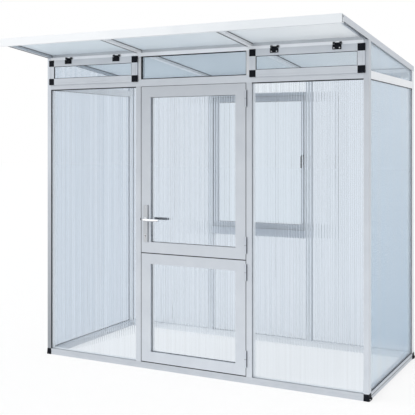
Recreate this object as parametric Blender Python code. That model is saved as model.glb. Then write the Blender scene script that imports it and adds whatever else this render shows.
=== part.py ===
"""Mono-pitch aluminium greenhouse: a glazed frame with a stable door, two top vents and a rear window.

Metres, +Z up. The front looks along -Y. The origin is at ground level, in the middle of the plan.
"""
import math

import bmesh
import bpy
from mathutils import Matrix

# Plan and heights
WIDTH = 2.5  # across the outer faces of the corner posts
DEPTH = 1.17  # from the front posts' faces to the rear posts' outer faces
OVERHANG = 0.525  # roof in front of the front posts
ROOF_UNDERSIDE = 2.248  # underside of the verges above the front posts' faces
ROOF_FALL = 0.0971  # metres of fall for each metre towards the rear
BASE_HEIGHT = 0.0435
HEAD_HEIGHT = 0.027  # of the front head rail at its face
FANLIGHT_HEIGHT = 0.1645  # clear height between the transom and the head rail
TRANSOM_HEIGHT = 0.05

# Profiles
FRAME_DEPTH = 0.05  # of every wall profile, front to back
CORNER_WIDTH = 0.033
POST_WIDTH = 0.041
POST_CENTRE = 0.4345  # of the door posts and the rear posts, from the middle
WALL = 0.002  # of the aluminium
FIT = 0.0003  # clearance between pieces that touch
BASE_GROOVE_HEIGHT = 0.004
BASE_GROOVE_DEPTH = 0.0015
BASE_GROOVE_BOTTOM = 0.021

# Glazing of the walls and the roof
PANE = 0.01
PANE_SETBACK = 0.008  # of a pane behind the frame's outer face
GROOVE = 0.01  # depth of a glazing groove
PANE_BITE = 0.008  # how far a pane reaches into its groove

# Roof
VERGE_HEIGHT = 0.039
ROOF_PANE_LIFT = 0.021  # of the roof panes above the underside of the verges
REAR_RAIL_HEIGHT = 0.0455
REAR_TRANSOM_HEIGHT = 0.033  # directly under the rear rail
FASCIA_HEIGHT = 0.054
FASCIA_DEPTH = 0.03
SLOT_COUNT = 10  # slanted slots in the inner side of each verge
SLOT_PITCH = 0.0405
SLOT_WIDTH = 0.003
SLOT_DEPTH = 0.0012
SLOT_LEAN = 0.032  # how far a slot runs back while it climbs the verge
SLOT_FIRST = 0.044  # from the front posts' faces to the first slot

# Base feet
FOOT_PROUD = 0.001
FOOT_SPIGOT = 0.04
FOOT_LUG_RADIUS = 0.011
FOOT_LUG_DEPTH = 0.03
FOOT_FLARE = 0.0025  # how much further a foot stands out at its bottom

# Door
DOOR_GAP = 0.005  # between the leaves and the posts
LEAF_DEPTH = 0.045
LEAF_MEMBER = 0.076
LEAF_WALL = 0.0025
SPLIT_BELOW_LEVER = 0.2375  # from the lever to the middle of the gap between the leaves
LEAF_CLEARANCE = 0.003  # above, below and between the leaves
GLASS = 0.006
GLASS_SETBACK = 0.018
GLASS_BITE = 0.009
GLASS_GROOVE = 0.011

# Butt hinges of the door and the window
HINGE_HALF = 0.055
HINGE_PLATE_GAP = 0.0006  # from a hinge's axis plane to each of its plates
WELD = 0.0005  # how deep fused shapes overlap
HINGE_REACH = 0.035  # of a hinge plate behind the frame's face
KNUCKLE_RADIUS = 0.007
KNUCKLE_OFFSET = 0.008  # of a hinge axis in front of the frame's face
HINGE_PIN = 0.0025
HINGE_PIN_LENGTH = 0.036
UPPER_HINGE_INSET_BOTTOM = 0.0965  # of a hinge's middle from the end of its leaf
UPPER_HINGE_INSET_TOP = 0.1015
LOWER_HINGE_INSET_BOTTOM = 0.1155
LOWER_HINGE_INSET_TOP = 0.0815
HINGE_SEGMENTS = 16

# Lever handle, lock and latch
PLATE_WIDTH = 0.035
PLATE_HEIGHT = 0.264
PLATE_THICKNESS = 0.008
PLATE_CORNER = 0.006
LEVER_HEIGHT = 1.0605
PLATE_DROP = 0.162  # from the lever to the bottom of the backplates
LEVER_RADIUS = 0.009
LEVER_STANDOFF = 0.042
LEVER_LENGTH = 0.13
LEVER_BEND = 0.014
BEND_STEPS = 5
SPINDLE = 0.008
SPINDLE_BITE = 0.015
SPINDLE_HOLE = 0.0068
CYLINDER_BELOW_LEVER = 0.1145
CYLINDER_RADIUS = 0.0085
CYLINDER_STEM = 0.010
CYLINDER_DROP = 0.0245
CYLINDER_PROUD = 0.0015
CASE_THICKNESS = 0.016
CASE_WIDTH = 0.052
CASE_DROP = 0.1555  # from the lever to the bottom of the lock case
CASE_RISE = 0.0395
LATCH_HEIGHT = 0.016
LATCH_THICKNESS = 0.011
LATCH_PROUD = 0.008
LATCH_TAIL = 0.018
LATCH_CLEARANCE = 0.0004
LATCH_SWEEP = 0.0015  # room for the latch's arc in the post

# Top vents
VENT_LAP_POST = 0.015  # how far a vent covers what is round it
VENT_LAP_CORNER = 0.011
VENT_LAP_HEAD = 0.005
VENT_LAP_TRANSOM = 0.0155
VENT_MEMBER = 0.047
VENT_THICKNESS = 0.01
VENT_GAP = 0.0005  # between a vent and the posts that it covers
VENT_PANE = 0.004
VENT_PANE_BITE = 0.005
VENT_GROOVE = 0.006
VENT_WALL = 0.0015
VENT_HINGE_OFFSET = 0.2138  # of a hinge from the middle of its vent
VENT_HINGE_WIDTH = 0.058
VENT_HINGE_EAR = 0.013
VENT_HINGE_DROP = 0.031
VENT_HINGE_RISE = 0.018
VENT_HINGE_PLATE = 0.0045
VENT_AXIS_RISE = 0.0075
VENT_KNUCKLE = 0.005
VENT_PIN = 0.0018

# Rear window
WINDOW_BOTTOM = 0.848
WINDOW_SILL = 0.062
WINDOW_HEAD = 0.028
WINDOW_JAMB = 0.01
SASH_STILE = 0.03
SASH_RAIL = 0.038
SASH_DEPTH = 0.04
SASH_CLEARANCE = 0.003
WINDOW_PANE_SETBACK = 0.015
WINDOW_HINGE_INSET = 0.15
WINDOW_HANDLE_HEIGHT = 1.5
WINDOW_HANDLE_LENGTH = 0.095
WINDOW_HANDLE_STANDOFF = 0.03
WINDOW_HANDLE_RADIUS = 0.007

# Drain slots in the undersides of the closed frames
DRAIN_LENGTH = 0.03
DRAIN_WIDTH = 0.004
DRAIN_INSET = 0.12  # from the ends of a frame

# Places that follow from the sizes
BACK_PROUD = KNUCKLE_OFFSET + KNUCKLE_RADIUS
FRONT = (OVERHANG - DEPTH - BACK_PROUD) / 2
BACK = FRONT + DEPTH
SIDE = WIDTH / 2
CORNER_INNER = SIDE - CORNER_WIDTH
POST_OUTER = POST_CENTRE + POST_WIDTH / 2
POST_INNER = POST_CENTRE - POST_WIDTH / 2
EAVE = FRONT - OVERHANG
HEAD_BOTTOM = ROOF_UNDERSIDE - HEAD_HEIGHT
TRANSOM_TOP = HEAD_BOTTOM - FANLIGHT_HEIGHT
TRANSOM_BOTTOM = TRANSOM_TOP - TRANSOM_HEIGHT
WINDOW_TOP = TRANSOM_BOTTOM - FIT
LEAF_SPLIT = LEVER_HEIGHT - SPLIT_BELOW_LEVER
PLATE_BOTTOM = LEVER_HEIGHT - PLATE_DROP
CYLINDER_HEIGHT = LEVER_HEIGHT - CYLINDER_BELOW_LEVER
CASE_BOTTOM = LEVER_HEIGHT - CASE_DROP
CASE_TOP = LEVER_HEIGHT + CASE_RISE
VENT_INNER = POST_OUTER - VENT_LAP_POST
VENT_OUTER = CORNER_INNER + VENT_LAP_CORNER
VENT_CENTRE = (VENT_INNER + VENT_OUTER) / 2
VENT_BOTTOM = TRANSOM_TOP - VENT_LAP_TRANSOM
VENT_TOP = HEAD_BOTTOM + VENT_LAP_HEAD
REAR_RAIL_BOTTOM = ROOF_UNDERSIDE + VERGE_HEIGHT - ROOF_FALL * DEPTH - REAR_RAIL_HEIGHT
REAR_TRANSOM_BOTTOM = REAR_RAIL_BOTTOM - FIT - REAR_TRANSOM_HEIGHT
FASCIA_BACK = EAVE + FASCIA_DEPTH

for old in list(bpy.data.objects):
    bpy.data.objects.remove(old, do_unlink=True)

parts = bpy.data.collections.new("aluminium_greenhouse")
cutters = bpy.data.collections.new("cutters")
bpy.context.scene.collection.children.link(parts)
bpy.context.scene.collection.children.link(cutters)


def material(name, color, metallic, roughness, alpha=1.0):
    made = bpy.data.materials.new(name)
    made.use_nodes = True
    shader = made.node_tree.nodes["Principled BSDF"]
    shader.inputs["Base Color"].default_value = (*color, 1.0)
    shader.inputs["Metallic"].default_value = metallic
    shader.inputs["Roughness"].default_value = roughness
    shader.inputs["Alpha"].default_value = alpha
    return made


ALUMINIUM = material("mill aluminium", (0.62, 0.64, 0.67), 0.9, 0.38)
FASCIA_METAL = material("pale coated aluminium", (0.82, 0.84, 0.86), 0.2, 0.45)
BLACK_PLASTIC = material("black nylon", (0.01, 0.012, 0.018), 0.0, 0.5)
TWIN_WALL = material("twin-wall polycarbonate", (0.78, 0.84, 0.89), 0.0, 0.15, 0.35)
CLEAR_GLASS = material("clear glass", (0.86, 0.9, 0.94), 0.0, 0.05, 0.25)
STEEL = material("bright steel", (0.7, 0.71, 0.73), 1.0, 0.25)


def new_object(name, mesh):
    made = bpy.data.objects.new(name, mesh)
    parts.objects.link(made)
    return made


def evaluated_mesh(thing):
    bpy.context.view_layer.update()
    return bpy.data.meshes.new_from_object(thing.evaluated_get(bpy.context.evaluated_depsgraph_get()))


def face_outwards(shape):
    bmesh.ops.recalc_face_normals(shape, faces=shape.faces)
    shape.normal_update()
    near = next(iter(shape.verts)).co.copy()
    volume = 0.0
    for face in shape.faces:
        volume += face.calc_area() * face.normal.dot(face.calc_center_median() - near) / 3
    if volume < 0:
        bmesh.ops.reverse_faces(shape, faces=shape.faces)


def place_along(value, first, second):
    return value(first, second) if callable(value) else value


def bar(name, axis, outline, start, end, holes=()):
    """Extrude an outline along a world axis.

    The outline is in (Y, Z) for axis X, in (X, Z) for axis Y and in (X, Y) for axis Z.
    start and end are places along the axis, or functions of the outline's coordinates.
    """
    curve = bpy.data.curves.new(name, "CURVE")
    curve.dimensions = "2D"
    curve.fill_mode = "BOTH"
    curve.extrude = 1.0
    for loop in (outline, *holes):
        spline = curve.splines.new("POLY")
        spline.points.add(len(loop) - 1)
        for point, (first, second) in zip(spline.points, loop):
            point.co = (first, second, 0.0, 1.0)
        spline.use_cyclic_u = True
    drawn = bpy.data.objects.new(name, curve)
    parts.objects.link(drawn)
    mesh = evaluated_mesh(drawn)
    bpy.data.objects.remove(drawn)
    shape = bmesh.new()
    shape.from_mesh(mesh)
    bmesh.ops.remove_doubles(shape, verts=shape.verts, dist=0.00001)
    for vertex in shape.verts:
        first, second, side = vertex.co
        along = place_along(end if side > 0 else start, first, second)
        if axis == "X":
            vertex.co = (along, first, second)
        elif axis == "Y":
            vertex.co = (first, along, second)
        else:
            vertex.co = (first, second, along)
    face_outwards(shape)
    shape.to_mesh(mesh)
    shape.free()
    return new_object(name, mesh)


def rectangle(first_low, first_high, second_low, second_high):
    return [
        (first_low, second_low),
        (first_high, second_low),
        (first_high, second_high),
        (first_low, second_high),
    ]


def box(name, x_low, x_high, y_low, y_high, z_low, z_high):
    shape = bmesh.new()
    bmesh.ops.create_cube(shape, size=1.0)
    size = (x_high - x_low, y_high - y_low, z_high - z_low)
    middle = ((x_high + x_low) / 2, (y_high + y_low) / 2, (z_high + z_low) / 2)
    bmesh.ops.scale(shape, vec=size, verts=shape.verts)
    bmesh.ops.translate(shape, vec=middle, verts=shape.verts)
    mesh = bpy.data.meshes.new(name)
    shape.to_mesh(mesh)
    shape.free()
    return new_object(name, mesh)


TURN_TO = {
    "X": Matrix.Rotation(math.pi / 2, 4, "Y"),
    "Y": Matrix.Rotation(math.pi / 2, 4, "X"),
    "Z": Matrix.Identity(4),
}


def rod(name, axis, centre, radius, length, segments=HINGE_SEGMENTS):
    """A round bar along a world axis, with its middle at centre."""
    shape = bmesh.new()
    bmesh.ops.create_cone(
        shape,
        cap_ends=True,
        segments=segments,
        radius1=radius,
        radius2=radius,
        depth=length,
        matrix=Matrix.Translation(centre) @ TURN_TO[axis],
    )
    mesh = bpy.data.meshes.new(name)
    shape.to_mesh(mesh)
    shape.free()
    return new_object(name, mesh)


def tube(name, points, radius):
    """A bent round bar through points, with closed ends."""
    curve = bpy.data.curves.new(name, "CURVE")
    curve.dimensions = "3D"
    curve.bevel_depth = radius
    curve.bevel_resolution = 3
    curve.use_fill_caps = True
    spline = curve.splines.new("POLY")
    spline.points.add(len(points) - 1)
    for point, place in zip(spline.points, points):
        point.co = (*place, 1.0)
    drawn = bpy.data.objects.new(name, curve)
    parts.objects.link(drawn)
    mesh = evaluated_mesh(drawn)
    bpy.data.objects.remove(drawn)
    shape = bmesh.new()
    shape.from_mesh(mesh)
    bmesh.ops.remove_doubles(shape, verts=shape.verts, dist=0.00001)
    face_outwards(shape)
    shape.to_mesh(mesh)
    shape.free()
    return new_object(name, mesh)


def combine(target, operation, others):
    for other in others:
        for collection in list(other.users_collection):
            collection.objects.unlink(other)
        cutters.objects.link(other)
        other.hide_render = True
        other.display_type = "WIRE"
        step = target.modifiers.new(operation.lower(), "BOOLEAN")
        step.operation = operation
        step.solver = "EXACT"
        step.material_mode = "TRANSFER"
        step.object = other
    return target


def cut(target, *others):
    return combine(target, "DIFFERENCE", others)


def fuse(target, *others):
    return combine(target, "UNION", others)


def grouped(name, pieces):
    """One object from pieces that don't touch, so that one Boolean step takes them all."""
    shape = bmesh.new()
    for piece in pieces:
        shape.from_mesh(piece.data)
        bpy.data.objects.remove(piece)
    mesh = bpy.data.meshes.new(name)
    shape.to_mesh(mesh)
    shape.free()
    return new_object(name, mesh)


def node(name, piece, finish, axis=None, smooth=False):
    """Turn a finished piece into a named object, with its origin on the axis that it moves about."""
    mesh = evaluated_mesh(piece)
    mesh.name = name
    if not mesh.materials:
        mesh.materials.append(finish)
    if smooth:
        mesh.shade_smooth()
        mesh.set_sharp_from_angle(angle=math.radians(30))
    bpy.data.objects.remove(piece)
    made = new_object(name, mesh)
    if axis is not None:
        mesh.transform(Matrix.Translation([-place for place in axis["world"]]))
        made.parent = axis
    return made


def paint(piece, finish):
    piece.data.materials.append(finish)
    return piece


def joint_empty(name, place, parent=None):
    """An empty on a joint's axis, which carries the pieces that move with it."""
    made = bpy.data.objects.new(name, None)
    parts.objects.link(made)
    made["world"] = place
    if parent is None:
        made.location = place
    else:
        made.parent = parent
        made.location = [own - base for own, base in zip(place, parent["world"])]
    return made


def roof_drop(y):
    """How much lower the roof lies at y than above the front posts' faces."""
    return ROOF_FALL * (y - FRONT)


def pitched(thing):
    """Shear a piece drawn level over the front posts so that it lies along the roof."""
    for vertex in thing.data.vertices:
        vertex.co.z -= roof_drop(vertex.co.y)
    return thing


def under_roof(first, y):
    return ROOF_UNDERSIDE - FIT - roof_drop(y)


GROOVE_FRONT = PANE_SETBACK - FIT
GROOVE_BACK = PANE_SETBACK + PANE + FIT


def mapped(points, first_origin, first_sign, second_origin, second_sign):
    return [(first_origin + first_sign * a, second_origin + second_sign * b) for a, b in points]


# Corner posts: one groove for the front or rear pane, one for the side pane
corner_section = [
    (0, 0),
    (CORNER_WIDTH, 0),
    (CORNER_WIDTH, GROOVE_FRONT),
    (CORNER_WIDTH - GROOVE, GROOVE_FRONT),
    (CORNER_WIDTH - GROOVE, GROOVE_BACK),
    (CORNER_WIDTH, GROOVE_BACK),
    (CORNER_WIDTH, FRAME_DEPTH),
    (GROOVE_BACK, FRAME_DEPTH),
    (GROOVE_BACK, FRAME_DEPTH - GROOVE),
    (GROOVE_FRONT, FRAME_DEPTH - GROOVE),
    (GROOVE_FRONT, FRAME_DEPTH),
    (0, FRAME_DEPTH),
]
corner_cavity = rectangle(WALL, CORNER_WIDTH - GROOVE - WALL, WALL, FRAME_DEPTH - GROOVE - WALL)
ROWS = (("front", FRONT, 1), ("back", BACK, -1))
HANDS = (("left", -1), ("right", 1))
for row, face, inward in ROWS:
    for hand, side in HANDS:
        outline = mapped(corner_section, side * SIDE, -side, face, inward)
        hollow = mapped(corner_cavity, side * SIDE, -side, face, inward)
        post = bar("corner_bar", "Z", outline, BASE_HEIGHT + FIT, under_roof, [hollow])
        node(f"corner_post_{row}_{hand}", post, ALUMINIUM)


def grooved(width, low, high):
    """Section of a wall profile, (across, depth), with a glazing groove on the low or high side."""
    points = [(0, 0), (width, 0)]
    if high:
        points += [
            (width, GROOVE_FRONT),
            (width - GROOVE, GROOVE_FRONT),
            (width - GROOVE, GROOVE_BACK),
            (width, GROOVE_BACK),
        ]
    points += [(width, FRAME_DEPTH), (0, FRAME_DEPTH)]
    if low:
        points += [(0, GROOVE_BACK), (GROOVE, GROOVE_BACK), (GROOVE, GROOVE_FRONT), (0, GROOVE_FRONT)]
    return points


def hinge_pair(x, face, inward, fixed_side, middle):
    """Fixed half with its pin, and moving half, of a butt hinge; fixed_side is +1 towards +X."""
    y = face - inward * KNUCKLE_OFFSET
    halves = []
    for side, low, high in (
        (fixed_side, middle - HINGE_HALF, middle - FIT / 2),
        (-fixed_side, middle + FIT / 2, middle + HINGE_HALF),
    ):
        knuckle = rod("hinge_knuckle", "Z", (x, y, (low + high) / 2), KNUCKLE_RADIUS, high - low)
        x_low, x_high = sorted((x + side * HINGE_PLATE_GAP, x + side * (DOOR_GAP / 2 + WELD)))
        y_low, y_high = sorted((y, face + inward * HINGE_REACH))
        halves.append(fuse(knuckle, box("hinge_plate", x_low, x_high, y_low, y_high, low, high)))
    fixed, moving = halves
    pin_low = middle - HINGE_HALF / 2
    pin_high = middle + HINGE_PIN_LENGTH
    fuse(fixed, rod("hinge_pin", "Z", (x, y, (pin_low + pin_high) / 2), HINGE_PIN, pin_high - pin_low))
    bore_low = middle - FIT
    bore_high = pin_high + FIT
    bore_radius = (HINGE_PIN + FIT) / math.cos(math.pi / HINGE_SEGMENTS)
    bore = rod("hinge_bore", "Z", (x, y, (bore_low + bore_high) / 2), bore_radius, bore_high - bore_low)
    return fixed, cut(moving, bore)


# Door posts: a groove towards the side bay; the right one carries the fixed hinge halves
LEAF_EDGE = POST_INNER - DOOR_GAP
LEAF_FLOOR = BASE_HEIGHT + LEAF_CLEARANCE
LOWER_TOP = LEAF_SPLIT - LEAF_CLEARANCE / 2
UPPER_FLOOR = LEAF_SPLIT + LEAF_CLEARANCE / 2
UPPER_TOP = TRANSOM_BOTTOM - LEAF_CLEARANCE
HINGE_X = POST_INNER - DOOR_GAP / 2
HINGE_Y = FRONT - KNUCKLE_OFFSET
upper_hinges = []
for middle in (UPPER_FLOOR + UPPER_HINGE_INSET_BOTTOM, UPPER_TOP - UPPER_HINGE_INSET_TOP):
    upper_hinges.append(hinge_pair(HINGE_X, FRONT, 1, 1, middle))
lower_hinges = []
for middle in (LEAF_FLOOR + LOWER_HINGE_INSET_BOTTOM, LOWER_TOP - LOWER_HINGE_INSET_TOP):
    lower_hinges.append(hinge_pair(HINGE_X, FRONT, 1, 1, middle))

post_section = grooved(POST_WIDTH, False, True)
post_cavity = rectangle(WALL, POST_WIDTH - GROOVE - WALL, WALL, FRAME_DEPTH - WALL)
latch_middle = FRONT + LEAF_DEPTH / 2
for hand, side in HANDS:
    outline = mapped(post_section, side * POST_INNER, side, FRONT, 1)
    hollow = mapped(post_cavity, side * POST_INNER, side, FRONT, 1)
    post = bar("door_post_bar", "Z", outline, BASE_HEIGHT + FIT, TRANSOM_BOTTOM - FIT, [hollow])
    if hand == "left":
        latch_pocket = box(
            "latch_pocket",
            -POST_INNER - (LATCH_PROUD - DOOR_GAP + LATCH_SWEEP),
            -POST_INNER + FIT,
            FRONT - FIT,
            latch_middle + LATCH_THICKNESS / 2 + LATCH_CLEARANCE,
            LEVER_HEIGHT - LATCH_HEIGHT / 2 - LATCH_CLEARANCE,
            LEVER_HEIGHT + LATCH_HEIGHT / 2 + LATCH_CLEARANCE,
        )
        cut(post, latch_pocket)
    else:
        fuse(post, *[fixed for fixed, moving in (*upper_hinges, *lower_hinges)])
    node(f"door_post_{hand}", post, ALUMINIUM)

# Rear posts: grooved on both sides
rear_section = grooved(POST_WIDTH, True, True)
rear_cavity = rectangle(GROOVE + WALL, POST_WIDTH - GROOVE - WALL, WALL, FRAME_DEPTH - WALL)
for hand, side in HANDS:
    outline = mapped(rear_section, side * POST_INNER, side, BACK, -1)
    hollow = mapped(rear_cavity, side * POST_INNER, side, BACK, -1)
    post = bar("back_post_bar", "Z", outline, BASE_HEIGHT + FIT, REAR_TRANSOM_BOTTOM - FIT, [hollow])
    node(f"back_post_{hand}", post, ALUMINIUM)

# Base rails: (depth, height), a pane groove on top and a shadow groove along the outside
base_section = [
    (0, 0),
    (FRAME_DEPTH, 0),
    (FRAME_DEPTH, BASE_HEIGHT),
    (GROOVE_BACK, BASE_HEIGHT),
    (GROOVE_BACK, BASE_HEIGHT - GROOVE),
    (GROOVE_FRONT, BASE_HEIGHT - GROOVE),
    (GROOVE_FRONT, BASE_HEIGHT),
    (0, BASE_HEIGHT),
    (0, BASE_GROOVE_BOTTOM + BASE_GROOVE_HEIGHT),
    (BASE_GROOVE_DEPTH, BASE_GROOVE_BOTTOM + BASE_GROOVE_HEIGHT),
    (BASE_GROOVE_DEPTH, BASE_GROOVE_BOTTOM),
    (0, BASE_GROOVE_BOTTOM),
]
cavity_outer = BASE_GROOVE_DEPTH + WALL
base_cavity = rectangle(cavity_outer, FRAME_DEPTH - WALL, WALL, BASE_HEIGHT - GROOVE - WALL)
long_end = CORNER_INNER - FIT
for row, face, inward in ROWS:
    outline = mapped(base_section, face, inward, 0, 1)
    hollow = mapped(base_cavity, face, inward, 0, 1)
    node(f"base_rail_{row}", bar("base_bar", "X", outline, -long_end, long_end, [hollow]), ALUMINIUM)
short_start = FRONT + FRAME_DEPTH + FIT
short_end = BACK - FRAME_DEPTH - FIT
for hand, side in HANDS:
    outline = mapped(base_section, side * SIDE, -side, 0, 1)
    hollow = mapped(base_cavity, side * SIDE, -side, 0, 1)
    node(f"base_rail_{hand}", bar("base_bar", "Y", outline, short_start, short_end, [hollow]), ALUMINIUM)

# Base feet: moulded corner blocks that plug into both rails and carry the posts
def span(first, second):
    return sorted((first, second))


for row, face, inward in ROWS:
    for hand, side in HANDS:
        outer_x = side * (SIDE + FOOT_PROUD)
        outer_y = face - inward * FOOT_PROUD
        block = box(
            "foot",
            *span(outer_x, side * CORNER_INNER),
            *span(outer_y, face + inward * FRAME_DEPTH),
            0,
            BASE_HEIGHT,
        )
        for corner in block.data.vertices:
            if corner.co.z == 0.0 and math.isclose(corner.co.x, outer_x, abs_tol=FIT):
                corner.co.x += side * FOOT_FLARE
            if corner.co.z == 0.0 and math.isclose(corner.co.y, outer_y, abs_tol=FIT):
                corner.co.y -= inward * FOOT_FLARE
        spigot_low = WALL + FIT
        spigot_high = BASE_HEIGHT - GROOVE - WALL - FIT
        near = cavity_outer + FIT
        far = FRAME_DEPTH - WALL - FIT
        long_spigot = box(
            "foot_long_spigot",
            *span(side * (CORNER_INNER + FIT), side * (CORNER_INNER - FOOT_SPIGOT)),
            *span(face + inward * near, face + inward * far),
            spigot_low,
            spigot_high,
        )
        short_spigot = box(
            "foot_short_spigot",
            *span(side * (SIDE - near), side * (CORNER_INNER + FIT)),
            *span(face + inward * (FRAME_DEPTH - FIT), face + inward * (FRAME_DEPTH + FOOT_SPIGOT)),
            spigot_low,
            spigot_high,
        )
        lug = rod(
            "foot_lug",
            "Y",
            (outer_x, face + inward * FRAME_DEPTH / 2, FOOT_LUG_RADIUS),
            FOOT_LUG_RADIUS,
            FOOT_LUG_DEPTH,
        )
        long_seat = box(
            "foot_long_seat",
            *span(side * (CORNER_INNER - FIT), side * (CORNER_INNER + GROOVE)),
            *span(face + inward * GROOVE_FRONT, face + inward * GROOVE_BACK),
            BASE_HEIGHT - GROOVE,
            BASE_HEIGHT + FIT,
        )
        short_seat = box(
            "foot_short_seat",
            *span(side * (SIDE - GROOVE_FRONT), side * (SIDE - GROOVE_BACK)),
            *span(face + inward * (FRAME_DEPTH - GROOVE), face + inward * (FRAME_DEPTH + FIT)),
            BASE_HEIGHT - GROOVE,
            BASE_HEIGHT + FIT,
        )
        foot = cut(fuse(block, long_spigot, short_spigot, lug), long_seat, short_seat)
        node(f"foot_{row}_{hand}", foot, BLACK_PLASTIC)

# Transom rails: grooved above and below, between the posts
transom_section = grooved(TRANSOM_HEIGHT, True, True)
transom_cavity = rectangle(WALL, TRANSOM_HEIGHT - WALL, GROOVE_BACK + WALL, FRAME_DEPTH - WALL)


def swapped(points):
    return [(b, a) for a, b in points]


front_bays = (
    ("left", -CORNER_INNER, -POST_OUTER),
    ("middle", -POST_INNER, POST_INNER),
    ("right", POST_OUTER, CORNER_INNER),
)
outline = mapped(swapped(transom_section), FRONT, 1, TRANSOM_BOTTOM, 1)
hollow = mapped(swapped(transom_cavity), FRONT, 1, TRANSOM_BOTTOM, 1)
node("transom_front", bar("transom_bar", "X", outline, -long_end, long_end, [hollow]), ALUMINIUM)
for hand, side in HANDS:
    outline = mapped(swapped(transom_section), side * SIDE, -side, TRANSOM_BOTTOM, 1)
    hollow = mapped(swapped(transom_cavity), side * SIDE, -side, TRANSOM_BOTTOM, 1)
    node(f"transom_{hand}", bar("transom_bar", "Y", outline, short_start, short_end, [hollow]), ALUMINIUM)

# Rear transom: directly under the roof's rear rail, grooved below only
rear_transom_section = grooved(REAR_TRANSOM_HEIGHT, True, False)
rear_transom_cavity = rectangle(WALL, REAR_TRANSOM_HEIGHT - WALL, GROOVE_BACK + WALL, FRAME_DEPTH - WALL)
outline = mapped(swapped(rear_transom_section), BACK, -1, REAR_TRANSOM_BOTTOM, 1)
hollow = mapped(swapped(rear_transom_cavity), BACK, -1, REAR_TRANSOM_BOTTOM, 1)
node("transom_back", bar("transom_bar", "X", outline, -long_end, long_end, [hollow]), ALUMINIUM)


# Front head rail: its top lies along the roof. It carries a stud on each side of the fanlight and the
# vents' brackets.
def head_top(depth):
    return ROOF_UNDERSIDE - FIT - ROOF_FALL * depth


head_outline = [
    (0, HEAD_BOTTOM),
    (GROOVE_FRONT, HEAD_BOTTOM),
    (GROOVE_FRONT, HEAD_BOTTOM + GROOVE),
    (GROOVE_BACK, HEAD_BOTTOM + GROOVE),
    (GROOVE_BACK, HEAD_BOTTOM),
    (FRAME_DEPTH, HEAD_BOTTOM),
    (FRAME_DEPTH, head_top(FRAME_DEPTH)),
    (GROOVE_BACK, head_top(GROOVE_BACK)),
    (GROOVE_BACK, head_top(GROOVE_BACK) - PANE_BITE),
    (GROOVE_FRONT, head_top(GROOVE_BACK) - PANE_BITE),
    (GROOVE_FRONT, head_top(GROOVE_FRONT)),
    (0, head_top(0)),
]
head_front_cavity = rectangle(
    WALL, GROOVE_FRONT - WALL, HEAD_BOTTOM + WALL, head_top(GROOVE_FRONT) - WALL
)
head_back_cavity = rectangle(
    GROOVE_BACK + WALL, FRAME_DEPTH - WALL, HEAD_BOTTOM + WALL, head_top(FRAME_DEPTH) - WALL
)
head = bar(
    "head_bar",
    "X",
    mapped(head_outline, FRONT, 1, 0, 1),
    -long_end,
    long_end,
    [mapped(head_front_cavity, FRONT, 1, 0, 1), mapped(head_back_cavity, FRONT, 1, 0, 1)],
)
stud_section = grooved(POST_WIDTH, True, False)
stud_cavity = rectangle(GROOVE + WALL, POST_WIDTH - WALL, WALL, FRAME_DEPTH - WALL)
for side in (-1, 1):
    outline = mapped(stud_section, side * POST_INNER, side, FRONT, 1)
    hollow = mapped(stud_cavity, side * POST_INNER, side, FRONT, 1)
    fuse(head, bar("stud", "Z", outline, TRANSOM_TOP + FIT, HEAD_BOTTOM + WELD, [hollow]))
VENT_FACE = FRONT - VENT_GAP - VENT_THICKNESS
VENT_AXIS_Y = FRONT - FIT - VENT_KNUCKLE
VENT_AXIS_Z = VENT_TOP + VENT_AXIS_RISE
VENT_HINGE_PLACES = [side * VENT_CENTRE + turn * VENT_HINGE_OFFSET for side in (-1, 1) for turn in (-1, 1)]
ear_outline = [
    (FRONT + WELD, VENT_AXIS_Z + WELD),
    (FRONT + WELD, VENT_TOP + VENT_HINGE_RISE),
    (VENT_AXIS_Y - VENT_KNUCKLE, VENT_TOP + VENT_HINGE_RISE),
]
for step in range(HINGE_SEGMENTS // 2 + 1):
    angle = math.pi * (1 + step / (HINGE_SEGMENTS // 2))
    ear_outline.append(
        (VENT_AXIS_Y + VENT_KNUCKLE * math.cos(angle), VENT_AXIS_Z + VENT_KNUCKLE * math.sin(angle))
    )
for hinge_x in VENT_HINGE_PLACES:
    half = VENT_HINGE_WIDTH / 2
    centre = (hinge_x, VENT_AXIS_Y, VENT_AXIS_Z)
    bracket = paint(rod("vent_pin", "X", centre, VENT_PIN, 2 * half - FIT), BLACK_PLASTIC)
    for turn in (-1, 1):
        ear_x = hinge_x + turn * (half - VENT_HINGE_EAR / 2)
        ear_ends = (ear_x - VENT_HINGE_EAR / 2, ear_x + VENT_HINGE_EAR / 2)
        fuse(bracket, paint(bar("vent_ear", "X", ear_outline, *ear_ends), BLACK_PLASTIC))
    fuse(head, bracket)
node("head_rail_front", paint(head, ALUMINIUM), ALUMINIUM)

# Roof: verges at the sides and two bars between, all with grooves for the roof panes
PANE_LOW = ROOF_UNDERSIDE + ROOF_PANE_LIFT
PANE_HIGH = PANE_LOW + PANE
ROOF_TOP = ROOF_UNDERSIDE + VERGE_HEIGHT
verge_section = [
    (0, ROOF_UNDERSIDE),
    (GROOVE_FRONT, ROOF_UNDERSIDE),
    (GROOVE_FRONT, ROOF_UNDERSIDE + GROOVE),
    (GROOVE_BACK, ROOF_UNDERSIDE + GROOVE),
    (GROOVE_BACK, ROOF_UNDERSIDE),
    (CORNER_WIDTH, ROOF_UNDERSIDE),
    (CORNER_WIDTH, PANE_LOW - FIT),
    (CORNER_WIDTH - GROOVE, PANE_LOW - FIT),
    (CORNER_WIDTH - GROOVE, PANE_HIGH + FIT),
    (CORNER_WIDTH, PANE_HIGH + FIT),
    (CORNER_WIDTH, ROOF_TOP),
    (0, ROOF_TOP),
]
verge_cavity = rectangle(WALL, GROOVE_FRONT - WALL, ROOF_UNDERSIDE + WALL, ROOF_TOP - WALL)
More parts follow.
